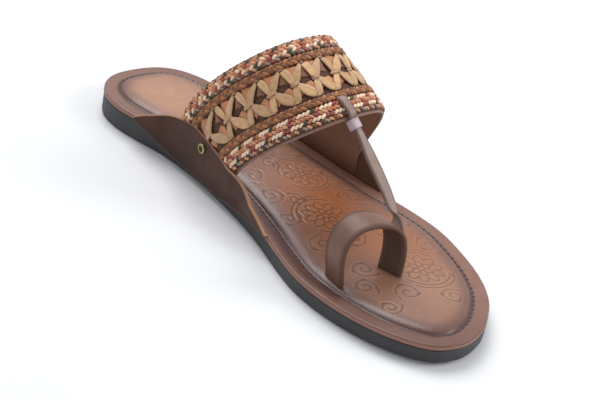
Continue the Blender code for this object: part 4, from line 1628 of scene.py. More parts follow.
    def plait(self, name: str, places: tuple, material: Finish) -> None:
        """A narrow rope plaited of three cords.

        Args:
            name: Name of the piece.
            places: Both edges of the rope along the width.
            material: Finish of the piece.
        """
        middle, half = sum(places) / 2, (places[1] - places[0]) / 2
        tints = (srgb(182, 118, 62), srgb(150, 92, 48), srgb(124, 74, 44))
        total = BAND.ruler(middle)[1][-1]
        where = np.linspace(0.5 * MM, total - 0.5 * MM, int(total / (0.42 * MM)))
        part = BAND.part_at(middle, where)
        lines = []
        for k, tint in enumerate(tints):
            angle = 2 * math.pi * (where / self.rope_pitch + k / 3)
            along = middle + half * np.sin(angle)
            lift = 1.25 * MM + 0.42 * MM * np.sin(2 * angle)
            radius = self.rope_radius * (1 + 0.06 * np.sin(3.1 * angle + k))
            lines.append((BAND.place(part, along, lift), radius, tint))
        obj = line_mesh(name, lines)
        self.cords.run(obj, Thickness=1.0, Sides=9, Finish=material)
        dress(obj, material, "upper_leather")

    def edge_cord(self, name: str, along: float, lift: float, radius: float,
                  tint: Colour, material: Finish) -> None:
        """A thin cord along one edge of the band.

        Args:
            name: Name of the piece.
            along: Place along the band's width.
            lift: Height over the base face.
            radius: Radius of the strand.
            tint: Colour of the strand.
            material: Finish of the piece.
        """
        part = np.linspace(0.0, 1.0, 260)
        path = BAND.place(part, along, lift)
        obj = line_mesh(name, [(path, radius, tint)])
        self.cords.run(obj, Thickness=1.0, Sides=8, Finish=material)
        dress(obj, material, "upper_leather")

    def picots(self, name: str, along: float, pitch: float, lift: float, size: float,
               yarns: Sequence[Yarn], material: Finish) -> None:
        """Small knots along one edge.

        Args:
            name: Name of the piece.
            along: Place along the band's width.
            pitch: Distance between two knots.
            lift: Height over the base face.
            size: Scale of each knot.
            yarns: Colours in turn.
            material: Finish of the piece.
        """
        knot = self.units.grain(name + "_unit", 1.0 * MM, 0.62 * MM, 0.6 * MM, 0.0, 6, 5)
        total = BAND.ruler(min(max(along, 0.0), 1.0))[1][-1]
        where = np.arange(0.6 * pitch, total, pitch)
        part = BAND.part_at(min(max(along, 0.0), 1.0), where)
        run, _, normal = BAND.axes(part, along)
        tints = [yarns[i % len(yarns)].value for i in range(len(part))]
        obj = point_mesh(name, BAND.place(part, along, lift), run, normal,
                         np.full(len(part), size), np.array(tints))
        self.scatter.run(obj, Unit=knot, Size=1.0, Variation=0.12, Seed=5, Finish=material)
        dress(obj, material, "upper_leather")

    def seam(self, name: str, along: float, material: Finish) -> None:
        """Stitches on the lining's inner face beside the front edge.

        Args:
            name: Name of the piece.
            along: Place along the band's width.
            material: Finish of the piece.
        """
        stitch = self.units.grain(name + "_unit", 1.7 * MM, 0.5 * MM, 0.4 * MM, 0.1 * MM, 6, 5)
        total = BAND.ruler(along)[1][-1]
        part = BAND.part_at(along, np.arange(1.2 * MM, total, 2.8 * MM))
        run, _, normal = BAND.axes(part, along)
        obj = point_mesh(name, BAND.place(part, along, -self.lining_depth - 0.02 * MM), run,
                         -normal, np.ones(len(part)),
                         np.tile(srgb(176, 140, 112), (len(part), 1)))
        self.scatter.run(obj, Unit=stitch, Size=1.0, Variation=0.05, Seed=6, Finish=material)
        dress(obj, material, "upper_leather")

    def ribbon(self, ends: tuple, widths: Sequence[float], lifts: Sequence[float],
               tint: Colour, bow: float = 0.0) -> tuple[Array, Array, Array, Array]:
        """A flat raffia strip laid on the band.

        Args:
            ends: Part and place of the first and the last end.
            widths: Widths from the first end to the last.
            lifts: Heights over the base from the first end to the last.
            tint: Colour of the strip.
            bow: How far its middle bows sideways.

        Returns:
            Points, tints, edge masks and map rows of one closed tube.
        """
        rows, sides = self.strip_rows, self.strip_sides
        line = np.linspace(0.0, 1.0, rows)
        (p0, a0), (p1, a1) = ends
        part = np.clip(p0 + (p1 - p0) * line, 0.0, 1.0)
        along = a0 + (a1 - a0) * line
        knots = np.linspace(0, 1, len(widths))
        width = np.interp(line, knots, widths)
        lift = np.interp(line, np.linspace(0, 1, len(lifts)), lifts)
        path = BAND.place(part, along, lift)
        normal = BAND.axes(part, along)[2]
        run = unit(np.gradient(path, axis=0))
        wide = unit(np.cross(normal, run))
        path = path + wide * (bow * np.sin(np.pi * line))[:, None]
        angle = np.linspace(0, 2 * math.pi, sides, endpoint=False)
        flat = np.sign(np.cos(angle)) * np.abs(np.cos(angle)) ** 0.85
        swell = np.sign(np.sin(angle)) * np.abs(np.sin(angle)) ** 0.6
        thick = np.where(swell > 0, 0.46 * MM, 0.25 * MM) * swell
        fold = 0.10 * MM * np.cos(3 * math.pi * flat) * (swell > 0.3)
        points = (path[:, None, :] + wide[:, None, :] * (flat[None, :] * width[:, None] / 2)[..., None]
                  + normal[:, None, :] * ((thick + fold)[None, :] * np.clip(width / MM, 0.45, 1)
                                          [:, None])[..., None])
        length = np.linalg.norm(path[-1] - path[0])
        maps = np.stack(np.broadcast_arrays((line * length + p0)[:, None],
                                            flat[None, :] * width[:, None] / 2 + p1), axis=-1)
        # painted shade: each strip darkens towards both edges
        edge = np.broadcast_to(smooth_step(0.72, 1.0, np.abs(flat)), (rows, sides))
        return (points.reshape(-1, 3), np.broadcast_to(tint, (rows * sides, 3)),
                edge.ravel(), maps.reshape(-1, 2))

    def lattice(self, name: str, straw: Finish) -> None:
        """The crossed raffia straps with their fills and knots.

        Args:
            name: Name of the piece.
            straw: Finish of the raffia.
        """
        rng = np.random.default_rng(11)
        strips = []
        for here, there in zip(self.knots[:-1], self.knots[1:]):
            step, centre = there - here, (here + there) / 2
            spots = {Anchor.HERE: (here, self.centre), Anchor.THERE: (there, self.centre),
                     Anchor.CENTRE: (centre, self.centre),
                     Anchor.REAR: (centre + self.rear_shift * step, self.rear_tip),
                     Anchor.FRONT: (centre + self.front_shift * step, self.front_tip)}
            for plan in self.plans:
                ends = [(spots[spot][0] + steps * step, spots[spot][1] + along)
                        for spot, steps, along in (plan.start, plan.end)]
                change = 1 + rng.uniform(-self.tint_change, self.tint_change)
                strips.append(self.ribbon(ends, [w * MM for w in plan.widths],
                                          [h * MM for h in plan.heights],
                                          tuple(c * change for c in plan.colour),
                                          bow=plan.bow * MM))
        points = np.concatenate([s[0] for s in strips])
        faces = []
        for i in range(len(strips)):
            faces.extend(ring_faces(self.strip_rows, self.strip_sides,
                                    i * self.strip_rows * self.strip_sides))
        obj = mesh_piece(name, points, faces,
                         {"tint": np.concatenate([s[1] for s in strips]),
                          "edge": np.concatenate([s[2] for s in strips])},
                         np.concatenate([s[3] for s in strips]))
        dress(obj, straw, "upper_leather")

    def build(self) -> None:
        """Build and dress the whole band."""
        lining = LeatherFinish("lining_leather", srgb(144, 110, 90), srgb(108, 80, 64),
                               srgb(138, 106, 92), srgb(146, 110, 90), gloss=0.5,
                               coat=0.1).material()
        net = NetFinish("band_net", srgb(78, 46, 32), srgb(176, 130, 92)).material()
        yarn = FibreFinish("braid_yarn", dark=srgb(70, 40, 30), scale=1100.0).material()
        rope = FibreFinish("plait_cord", dark=srgb(52, 28, 18), scale=900.0,
                           streak=0.75).material()
        straw = FibreFinish("raffia_straw", dark=srgb(96, 62, 40), scale=2300.0, mapped=True,
                            streak=0.75, rough=0.5, depth=0.12 * MM).material()
        self.build_ground(lining, net)
        self.braid("front_braid", self.front_rows, yarn, 3.4 * MM, 2)
        self.braid("rear_braid", self.rear_rows, yarn, 3.6 * MM, 4)
        self.plait("front_plait", self.rope_places[0], rope)
        self.plait("rear_plait", self.rope_places[1], rope)
        self.edge_cord("front_binding", -0.006, -0.75 * MM, 0.62 * MM, srgb(142, 110, 100),
                       yarn)
        self.edge_cord("rear_binding", 1.004, -0.3 * MM, 0.6 * MM, srgb(150, 108, 80), yarn)
        self.picots("front_dots", 0.004, 1.5 * MM, 0.35 * MM, 1.0,
                    (Yarn.PLUM, Yarn.BROWN, Yarn.DARK), yarn)
        self.picots("rear_picots", 1.006, 4.2 * MM, 0.45 * MM, 1.25,
                    (Yarn.DARK, Yarn.PLUM, Yarn.GREEN), yarn)
        self.seam("lining_seam", 0.045, yarn)
        self.lattice("raffia_lattice", straw)


@dataclass
class SideFlaps:
    """The two smooth leather flaps that join the band to the sole."""

    shape: FlapShape

    def flap(self, side: Side) -> Piece:
        """One flap as a closed sheet with rounded edges.

        Args:
            side: Which side.

        Returns:
            The flap with attributes "edge", "face" and "shade".
        """
        first, last = self.shape.rear, self.shape.fronts[side]
        levels = np.linspace(0, 1, 17)
        wall = self.shape.wall
        half = wall / 2
        points, edges, faces_mask, shades = [], [], [], []
        shares = first + (last - first) * (0.5 - 0.5 * np.cos(np.linspace(0, np.pi, 151)))
        for share in shares:
            low = float(self.shape.bottom(share))
            high = float(self.shape.top(share, side))
            bend = np.linspace(0, 180, 7)[1:-1]
            ring = [(wall, low + half * 0.7 + (high - low - half * 1.4) * t, 1.0, 0.0)
                    for t in levels]
            ring += [(half + half * math.cos(math.radians(b)),
                      high - half * 0.7 + half * 0.7 * math.sin(math.radians(b)), 0.0, 1.0)
                     for b in bend]
            ring += [(0.0, low + half * 0.7 + (high - low - half * 1.4) * t, -1.0, 0.0)
                     for t in levels[::-1]]
            ring += [(half - half * math.cos(math.radians(b)),
                      low + half * 0.7 - half * 0.7 * math.sin(math.radians(b)), 0.0, 1.0)
                     for b in bend]
            data = np.array(ring)
            z = data[:, 1]
            rise = np.clip((z - low) / (high - low), 0, 1)
            wave = (1.3 * MM * bump_curve(share, 0.232, 0.024)
                    - 0.2 * MM * bump_curve(share, 0.300, 0.03)
                    + 0.8 * MM * bump_curve(share, 0.462, 0.018)
                    - 0.2 * MM * bump_curve(share, 0.505, 0.015)
                    + 0.7 * MM * bump_curve(share, 0.548, 0.018)) * rise
            out = flap_out(np.full(len(z), share), z) + data[:, 0] + np.maximum(wave, -0.2 * MM)
            flat = SOLE.wall_point(np.full(len(z), share), side, out)
            points.append(np.column_stack([flat, z]))
            faces_mask.append(data[:, 2])
            edges.append(data[:, 3])
            shades.append(np.clip(0.75 * smooth_step(0.5, 0.0, rise)
                                  + 0.3 * bump_curve(share, 0.30, 0.03), 0, 1))
        count = len(points[0])
        name = "flap_medial" if side is Side.MEDIAL else "flap_lateral"
        return mesh_piece(name, np.concatenate(points), ring_faces(len(points), count),
                          {"edge": np.concatenate(edges), "face": np.concatenate(faces_mask),
                           "shade": np.concatenate(shades)})

    def build(self) -> None:
        """Build and dress both flaps."""
        leather = LeatherFinish("flap_leather", srgb(80, 46, 31), srgb(52, 29, 20),
                                srgb(156, 116, 90), srgb(104, 74, 59), gloss=0.33,
                                coat=0.06, shine=0.15).material()
        for side in Side:
            dress(self.flap(side), leather, "upper_leather")


@dataclass(frozen=True)
class Scroll:
    """One pressed scroll, in millimetres: a spiral with three leaves."""

    x: float
    y: float
    size: float
    turn: float
    hand: float
    turns: float = 1.6

    def lines(self) -> list:
        """The scroll's lines on the footbed.

        Returns:
            The spiral and its three leaves.
        """
        angle = np.linspace(0.25 * math.pi, self.turns * 2 * math.pi, 70)
        radius = self.size * (angle / (self.turns * 2 * math.pi)) ** 0.8
        where = self.turn + self.hand * angle
        spiral = np.stack([self.x + radius * np.cos(where), self.y + radius * np.sin(where)], 1)
        made = [spiral]
        for start, reach in ((0.55, 0.75), (0.78, 0.9), (1.0, 1.0)):
            at = int(start * 69)
            heading = where[at] + self.hand * (1.4 * np.linspace(0, 1, 24) + 0.7)
            step = self.size * 0.62 * reach / 24
            made.append(spiral[at] + np.cumsum(
                np.stack([np.cos(heading), np.sin(heading)], 1) * step, 0))
        return made


@dataclass(frozen=True)
class Rosette:
    """One pressed rosette, in millimetres: petals, heart and two outer rings."""

    x: float
    y: float
    size: float
    petals: int
    turn: float

    def ring(self, radius: float, start: float, reach: float) -> Array:
        """An arc round the rosette's middle."""
        angle = self.turn + np.linspace(start, start + reach, 90)
        return np.stack([self.x + radius * np.cos(angle), self.y + radius * np.sin(angle)], 1)

    def scallops(self, count: int, low: float, high: float, shift: float) -> list:
        """A ring of petals between two shares of the size.

        Args:
            count: Number of petals.
            low: Inner share of the size.
            high: Outer share of the size.
            shift: Extra turn.

        Returns:
            One line for each petal.
        """
        wide, t = 2 * math.pi / count, np.linspace(0, math.pi, 36)
        made = []
        for k in range(count):
            angle = self.turn + shift + wide * (k + 0.94 * (t / math.pi - 0.5))
            radius = self.size * (low + (high - low) * np.sin(t) ** 0.6)
            made.append(np.stack([self.x + radius * np.cos(angle),
                                  self.y + radius * np.sin(angle)], 1))
        return made

    def lines(self) -> list:
        """The rosette's lines on the footbed.

        Returns:
            Rings, arcs and petals.
        """
        made = [self.ring(0.13 * self.size, 0.0, 6.3), self.ring(1.02 * self.size, 0.3, 2.4),
                self.ring(1.02 * self.size, 3.3, 2.2), self.ring(1.20 * self.size, 0.6, 1.6),
                self.ring(1.20 * self.size, 3.7, 1.5)]
        made += self.scallops(self.petals - 2, 0.17, 0.44, 0.0)
        made += self.scallops(self.petals + 2, 0.50, 0.84, 0.25)
        return made


@dataclass
class Footbed:
    """The leather footbed: stitched rim, padded middle and pressed scrolls."""

    units: Units
    scatter: ScatterTool
    rows: tuple = ((0.0, -0.8), (0.25, -0.3), (0.6, -0.05), (1.0, 0.0), (2.0, 0.0), (6.0, 0.0),
                   (6.9, -0.05), (7.5, -0.25), (8.1, -0.1), (8.9, 0.5), (10.0, 1.1),
                   (11.6, 1.6), (13.6, 1.9), (16.0, 2.1), (24.0, 2.35), (50.0, 2.6))
    seam: float = 7.0 * MM
    stitch_pitch: float = 3.6 * MM
    rosettes: tuple = (
        Rosette(11.8, 5.9, 12.0, 8, 0.2), Rosette(-1.6, -27.3, 13.5, 9, 0.5),
        Rosette(10.2, -80.1, 13.0, 8, 0.1), Rosette(6.0, 36.0, 10.0, 8, 0.0),
    )
    scrolls: tuple = (
        Scroll(-12.5, 14.0, 6.5, 0.4, 1.0), Scroll(-15.0, -3.0, 6.0, 1.6, -1.0),
        Scroll(-6.0, -10.5, 4.5, 3.9, 1.0), Scroll(22.5, -18.0, 7.5, 0.9, 1.0),
        Scroll(26.0, 2.0, 5.5, 2.6, -1.0), Scroll(-19.5, -22.0, 5.5, 2.2, 1.0),
        Scroll(-19.0, -46.0, 7.0, 5.2, -1.0), Scroll(-3.0, -48.0, 6.0, 2.2, 1.0),
        Scroll(16.0, -46.0, 8.5, 4.2, 1.0), Scroll(31.0, -44.0, 6.0, 0.6, -1.0),
        Scroll(-15.5, -69.0, 6.0, 1.1, 1.0), Scroll(-24.5, -80.0, 5.5, 2.9, -1.0),
        Scroll(28.0, -66.0, 6.5, 3.4, -1.0), Scroll(-9.5, -92.0, 6.5, 5.8, 1.0),
        Scroll(-25.0, -97.0, 5.0, 2.0, 1.0), Scroll(8.0, -103.0, 5.5, 4.4, -1.0),
        Scroll(25.0, -92.0, 5.0, 1.0, 1.0), Scroll(23.0, 24.0, 6.0, 4.4, 1.0),
        Scroll(-12.0, 33.0, 5.5, 1.2, -1.0), Scroll(2.0, 20.0, 4.5, 3.0, -1.0),
    )

    def depth_at(self, flat: Array) -> Array:
        """Distance of points from the sole's outline.

        Args:
            flat: Rows of x and y.

        Returns:
            One distance for each point.
        """
        outline = np.concatenate([SOLE.side(Side.MEDIAL, 500, 1.0),
                                  SOLE.side(Side.LATERAL, 500, 1.0)])
        outline = outline + np.array([SHIFT_X, 0.0])
        best = np.full(len(flat), 1.0)
        for start in range(0, len(flat), 4000):
            block = flat[start:start + 4000]
            gap = np.linalg.norm(block[:, None, :] - outline[None, :, :], axis=2)
            best[start:start + 4000] = gap.min(axis=1)
        return best

    def pattern_gap(self, flat: Array) -> Array:
        """Distance of points from the nearest pressed line.

        Args:
            flat: Rows of x and y.

        Returns:
            One distance for each point.
        """
        lines = [line for motif in (*self.rosettes, *self.scrolls) for line in motif.lines()]
        points = np.concatenate(lines) * MM + np.array([SHIFT_X, 0.0])
        tree = KDTree(len(points))
        for i, (x, y) in enumerate(points):
            tree.insert((x, y, 0.0), i)
        tree.balance()
        return np.array([tree.find((x, y, 0.0))[2] for x, y in flat])

    def surface(self, columns: int = 470, across: int = 168) -> Piece:
        """The footbed as one closed solid with its masks.

        Args:
            columns: Rows along the length.
            across: Points across the width.

        Returns:
            The footbed's mesh object.
        """
        medial = SOLE.side(Side.MEDIAL, columns, 0.72)[1:-1]
        lateral = SOLE.side(Side.LATERAL, columns, 0.72)[1:-1]
        line = np.linspace(0, 1, across + 1)
        spread = 0.80 * line + 0.20 * (0.5 - 0.5 * np.cos(np.pi * line))
        flat = (medial[:, None, :] * (1 - spread)[None, :, None]
                + lateral[:, None, :] * spread[None, :, None])
        flat = flat + np.array([SHIFT_X, 0.0])
        rows, width = flat.shape[:2]
        flat = flat.reshape(-1, 2)
        depth = self.depth_at(flat)
        border = np.zeros((rows, width), bool)
        border[:, 0] = border[:, -1] = True
        depth[border.ravel()] = 0.0
        profile = Table([(d * MM, h * MM) for d, h in self.rows])
        share = 0.5 - flat[:, 1] / LENGTH
        gap = self.pattern_gap(flat)
        inside = smooth_step(11.5 * MM, 14.5 * MM, depth)
        emboss = (1.0 - smooth_step(0.18 * MM, 0.72 * MM, gap)) * inside
        # the lip beside each pressed line is raised a little and lightened in colour as a painted
        # highlight
        lip = bump_curve(gap, 1.0 * MM, 0.32 * MM) * inside
        top = SOLE.rim_top(share) + profile.column(depth) + (0.05 * lip - 0.16 * emboss) * MM
        points = np.column_stack([flat, top])
        masks = self.masks(points, depth)
        # pressed lines darkened as tooled leather; the extra darkening on the medial side is painted
        # shade
        masks["emboss"] = emboss * (0.55 + 0.45 * smooth_step(14 * MM, -8 * MM, flat[:, 0]))
        masks["lip"] = lip
        tips = np.array([[SOLE.heel_tip * LENGTH + SHIFT_X, LENGTH / 2],
                         [SOLE.toe_tip * LENGTH + SHIFT_X, -LENGTH / 2]])
        tip_z = SOLE.rim_top(np.array([0.0, 1.0])) - 0.9 * MM
        low_border = np.concatenate([np.arange(rows) * width, [rows * width + 1],
                                     np.arange(rows)[::-1] * width + width - 1,
                                     [rows * width]]).astype(int)
        points = np.vstack([points, np.column_stack([tips, tip_z])])
        start = len(points)
        rim = points[low_border].copy()
        middle = rim.copy()
        rim[:, 2] = SOLE.rubber_top(0.5 - rim[:, 1] / LENGTH) + GAP
        middle[:, 2] = (middle[:, 2] + rim[:, 2]) / 2
        points = np.vstack([points, middle, rim])
        faces = []
        for i in range(rows - 1):
            for j in range(width - 1):
                here = i * width + j
                faces.append((here, here + 1, here + width + 1, here + width))
        for j in range(width - 1):
            faces.append((rows * width, j, j + 1))
            faces.append((rows * width + 1, (rows - 1) * width + j + 1, (rows - 1) * width + j))
        count = len(low_border)
        for i in range(count):
            j = (i + 1) % count
            faces.append((low_border[i], low_border[j], start + j, start + i))
            faces.append((start + i, start + j, start + count + j, start + count + i))
        faces.append(tuple(start + count + i for i in range(count)))
        extra = 2 + 2 * count
        for key in masks:
            masks[key] = np.concatenate([masks[key], np.zeros(extra)])
        masks["raw"][-2 * count:] = 1.0
        masks["raw"][low_border] = 0.8
        masks["under"][-count:] = 0.7
        return mesh_piece("footbed", points, faces, masks)

    def masks(self, points: Array, depth: Array) -> dict[str, Array]:
        """Listed tones of the footbed.

        Args:
            points: Points of the upper face.
            depth: Their distance from the outline.

        Returns:
            The masks "burnish" (burnish with painted shade), "warm", "pale", "raw" and "under".
        """
        x, y = points[:, 0] - SHIFT_X, points[:, 1]

        def patch(cx: float, cy: float, rx: float, ry: float) -> Array:
            """A soft oval patch."""
            return np.exp(-(((x - cx * MM) / (rx * MM)) ** 2 + ((y - cy * MM) / (ry * MM)) ** 2))

        rim = smooth_step(9.0 * MM, 6.5 * MM, depth)
        # painted shade: darker in the gutter at the pad's foot
        gutter = np.exp(-((depth - 8.0 * MM) / (1.1 * MM)) ** 2)
        shoulder = smooth_step(17 * MM, 10 * MM, depth)
        side = smooth_step(12 * MM, -26 * MM, x) * smooth_step(60 * MM, 20 * MM, y)
        # painted shadow of the pad's ridge on the inner rim of the medial forefoot
        ridge_shadow = (smooth_step(2.2 * MM, 4.4 * MM, depth) * smooth_step(9.4 * MM, 7.8 * MM, depth)
                * smooth_step(-88 * MM, -64 * MM, y) * smooth_step(0.0, -22 * MM, y)
                * smooth_step(-2 * MM, -12 * MM, x))
        # the rim's burnished darkening, eased on the lateral forefoot, where the lighter rim is a
        # painted reflection
        rim_tone = 0.30 - 0.24 * smooth_step(0.0, 26 * MM, x) * smooth_step(30 * MM, -10 * MM, y)
        # burnished rim and shoulder and a darker medial half, together with the painted shade and
        # shadow above
        burnish = np.clip(rim_tone * rim + 0.75 * gutter + 0.42 * shoulder * (1 - rim)
                          + 0.28 * side + 0.85 * ridge_shadow, 0, 1)
        warm = np.clip(0.95 * patch(6, -22, 24, 34) + 0.8 * patch(8, -58, 22, 26)
                       + 0.5 * patch(-8, 70, 26, 40), 0, 1) * smooth_step(10 * MM, 18 * MM, depth)
        pale = np.clip(0.75 * patch(-4, 92, 26, 34) + 0.42 * patch(-6, -96, 30, 26), 0, 1)
        pale = pale * smooth_step(9 * MM, 16 * MM, depth)
        return {"burnish": burnish, "warm": warm, "pale": pale,
                "raw": np.zeros(len(x)), "under": np.zeros(len(x))}

    def seam_points(self) -> tuple[Array, Array]:
        """Places and headings of the stitches round the pad.

        Returns:
            Rows of x and y, and unit headings.
        """
        sides = []
        for side in Side:
            line = SOLE.side(side, 700, 1.0)
            sides.append(line if side is Side.MEDIAL else line[::-1][1:])
        ring = np.concatenate(sides)
        tangent = unit(np.roll(ring, -1, axis=0) - np.roll(ring, 1, axis=0))
        inward = np.stack([-tangent[:, 1], tangent[:, 0]], axis=1)
        if ((ring.mean(axis=0) - ring) * inward).sum() < 0:
            inward = -inward
        seam = ring + inward * self.seam
        seam = np.vstack([seam, seam[:1]])
        steps = np.concatenate(([0], np.cumsum(np.linalg.norm(np.diff(seam, axis=0), axis=1))))
        count = int(steps[-1] / self.stitch_pitch)
        where = np.linspace(0, steps[-1], count, endpoint=False)
        places = np.stack([np.interp(where, steps, seam[:, k]) for k in (0, 1)], axis=1)
        ahead = np.stack([np.interp(where + 0.5 * MM, steps, seam[:, k]) for k in (0, 1)], axis=1)
        return places + np.array([SHIFT_X, 0.0]), unit(ahead - places)

    def build(self) -> None:
        """Build and dress the footbed and its stitches."""
        leather = FootbedFinish("footbed_leather_worn").material()
        dress(self.surface(), leather, "footbed_leather", "insole")
        thread = FibreFinish("footbed_thread", dark=srgb(30, 18, 16), scale=2400.0).material()
        places, headings = self.seam_points()
        share = 0.5 - places[:, 1] / LENGTH
        z = SOLE.rim_top(share) - 0.12 * MM
        up = np.tile([0.0, 0.0, 1.0], (len(places), 1))
        runs = np.column_stack([headings, np.zeros(len(places))])
        spots = np.column_stack([places, z])
        for name, length, width, lower, tint in (
                ("rim_stitches", 2.5, 0.55, 0.06, srgb(78, 50, 46)),
                # the holes are near-black spots: painted shade in the stitch holes
                ("rim_holes", 1.45, 1.25, 0.00, srgb(20, 11, 11))):
            shift = 0.0 if name == "rim_stitches" else 0.5 * self.stitch_pitch
            shape = self.units.grain(name + "_unit", length * MM, width * MM, 0.34 * MM,
                                     0.10 * MM, 6, 6)
            obj = point_mesh(name, spots + runs * shift - up * lower * MM, runs, up,
                             np.ones(len(places)), np.tile(tint, (len(places), 1)))
            self.scatter.run(obj, Unit=shape, Size=1.0, Variation=0.06, Seed=9, Finish=thread)
            dress(obj, thread, "footbed_leather")


@dataclass
class ToeStraps:
    """Toe loop, thong strap and the strap's keeper."""

    medial: tuple = (-33.9, -69.9)
    lateral: tuple = (-6.2, -76.0)
    top: float = 37.6
    bow_medial: float = 3.0
    bow_lateral: float = 4.2
    back: float = 5.0
    foot: float = 5.0
    width: float = 12.2
    wall: float = 2.2
    turns: tuple = (-96.0, -74.0)
    tilt: float = 0.12
    strap_wall: float = 1.4
    clear: float = 0.35
    across: float = 0.464
    hold: float = 7.2
    near: float = 1.5
    keeper: float = 5.2
    run: tuple = ((2.0, -42.0, 51.0), (2.4, -50.0, 44.6), (2.2, -58.0, 38.4))
    widths: tuple = (5.0, 3.8, 6.4)
    run_widths: tuple = (5.9, 6.3, 6.5)

    def heading(self, degrees: float) -> Array:
        """Direction across the loop's width, on the footbed."""
        return np.array([math.cos(math.radians(degrees)), math.sin(math.radians(degrees)), 0.0])

    def loop_point(self, part: float) -> tuple[Array, Array]:
        """A point of the toe loop's middle line and its width direction.

        Args:
            part: Share of the loop from the big-toe side.

        Returns:
            The point in metres and a unit direction.
        """
        angle = math.pi * part
        rise = math.sin(angle)
        mix = 0.5 - 0.5 * math.cos(angle)
        flat = np.array(self.medial) * (1 - mix) + np.array(self.lateral) * mix
        bow = -self.bow_medial if part < 0.5 else self.bow_lateral
        flat = flat + np.array([bow * abs(math.sin(2 * angle)), self.back * rise])
        base = float(SOLE.rubber_top(np.array(0.5 - flat[1] * MM / LENGTH))) / MM + 0.3 + self.foot
        z = base + (self.top - base) * rise ** 0.8
        wide = self.heading(self.turns[0] + (self.turns[1] - self.turns[0]) * part)
        wide[2] = -self.tilt * rise
        return np.array([flat[0], flat[1], z]) * MM, unit(wide)

    def build_loop(self, material: Finish) -> None:
        """The flat loop over the big toe.

        Args:
            material: Finish of the piece.
        """
        parts = np.linspace(0, 1, 61)
        rows = [self.loop_point(p) for p in parts]
        path = np.array([r[0] for r in rows])
        wide = np.array([r[1] for r in rows])
        for index in (0, -1):
            foot = path[index].copy()
            foot[2] = float(SOLE.rubber_top(np.array(0.5 - foot[1] / LENGTH))) + GAP
            at = 0 if index == 0 else len(path)
            path = np.insert(path, at, foot, axis=0)
            wide = np.insert(wide, at, wide[index], axis=0)
        path = path + np.array([SHIFT_X, 0, 0])
        obj = sweep("toe_loop_strap", path, wide, np.full(len(path), self.width * MM),
                    self.wall * MM)
        dress(obj, material, "loop_leather", "toe_loop")

    def strap_rows(self) -> Array:
        """Rows of the thong strap: point, width direction and width, in millimetres.

        Returns:
            One row for each point of the middle line.
        """
        part = np.array([self.across])
        edge = BAND.base(part, 0.0)[0]
        edge = edge - np.array([SHIFT_X, 0, 0])
        back = unit(BAND.base(part, 1.0)[0] - BAND.base(part, 0.0)[0])
        normal = BAND.axes(part, 0.0)[2][0]
        edge = edge / MM
        wide = unit(np.cross(normal, back))
        layer = (self.strap_wall + self.clear) / 2
        over, under = 2.0 + self.clear + self.strap_wall / 2, -(1.5 + self.clear + self.strap_wall / 2)
        down = unit(np.array(self.run[0]) - edge)
        lift = unit(np.cross(down, wide))
        lift = -lift if lift @ normal < 0 else lift
        near, far = self.near, self.near + self.keeper

        def local(inward: float, height: float) -> Array:
            """A point in the band's own directions."""
            return edge + back * inward + normal * height

        middle, radius = (over + under) / 2, (over - under) / 2
        points = [edge + down * (far + 1.2) - lift * layer,
                  edge + down * ((near + far) / 2) - lift * layer,
                  edge + down * (near - 0.45) - lift * layer,
                  local(-0.5, under), local(1.0, under), local(self.hold - 3.0, under),
                  local(self.hold, under)]
        for degrees in (-60, -30, 0, 30, 60):
            angle = math.radians(degrees)
            points.append(local(self.hold + radius * math.cos(angle),
                                middle + radius * math.sin(angle)))
        points += [local(self.hold, over), local(self.hold - 3.0, over), local(1.4, over - 0.1),
                   local(-0.2, over - 0.8), edge + down * (near - 0.45) + lift * layer,
                   edge + down * ((near + far) / 2) + lift * layer,
                   edge + down * far + lift * layer]
        wides = [wide] * len(points)
        widths = [self.widths[1]] * 3 + [self.widths[0]] * (len(points) - 6) + [self.widths[1]] * 3
        slot = self.heading(self.turns[1])
        for place, turned, width in zip(self.run, (0.0, 0.08, 0.25), self.run_widths):
            points.append(np.array(place))
            wides.append(unit(wide * (1 - turned) + slot * turned))
            widths.append(width)
        away = self.wall / 2 + self.clear + self.strap_wall / 2
        for share in (0.83, 0.88, 0.93):
            place, along = self.loop_point(share)
            run = self.loop_point(share + 0.01)[0] - self.loop_point(share - 0.01)[0]
            aside = unit(np.cross(run, along))
            aside = -aside if aside[0] < 0 else aside
            points.append(place / MM + aside * away)
            wides.append(along)
            widths.append(self.widths[2])
        aside = np.array([-slot[1], slot[0]])
        aside = -aside if aside[0] < 0 else aside
        foot = np.array(self.lateral) + aside * away
        bottom = float(SOLE.rubber_top(np.array(0.5 - foot[1] * MM / LENGTH))) / MM + 0.3
        for z in (bottom + 4.3, bottom):
            points.append(np.array([foot[0], foot[1], z]))
            wides.append(slot)
            widths.append(self.widths[2])
        return np.array([(*p, *w, b) for p, w, b in zip(points, wides, widths)])

    def build_strap(self, material: Finish) -> None:
        """The folded thong strap.

        Args:
            material: Finish of the piece.
        """
        rows = even_curve(self.strap_rows(), 210)
        rows[:, :3] = soften(rows[:, :3], 3)
        rows[:, 3:] = soften(rows[:, 3:], 24)
        path = rows[:, :3] * MM + np.array([SHIFT_X, 0, 0])
        obj = sweep("thong", path, rows[:, 3:6], rows[:, 6] * MM, self.strap_wall * MM, 0.15 * MM)
        dress(obj, material, "thong_leather", "thong_strap")

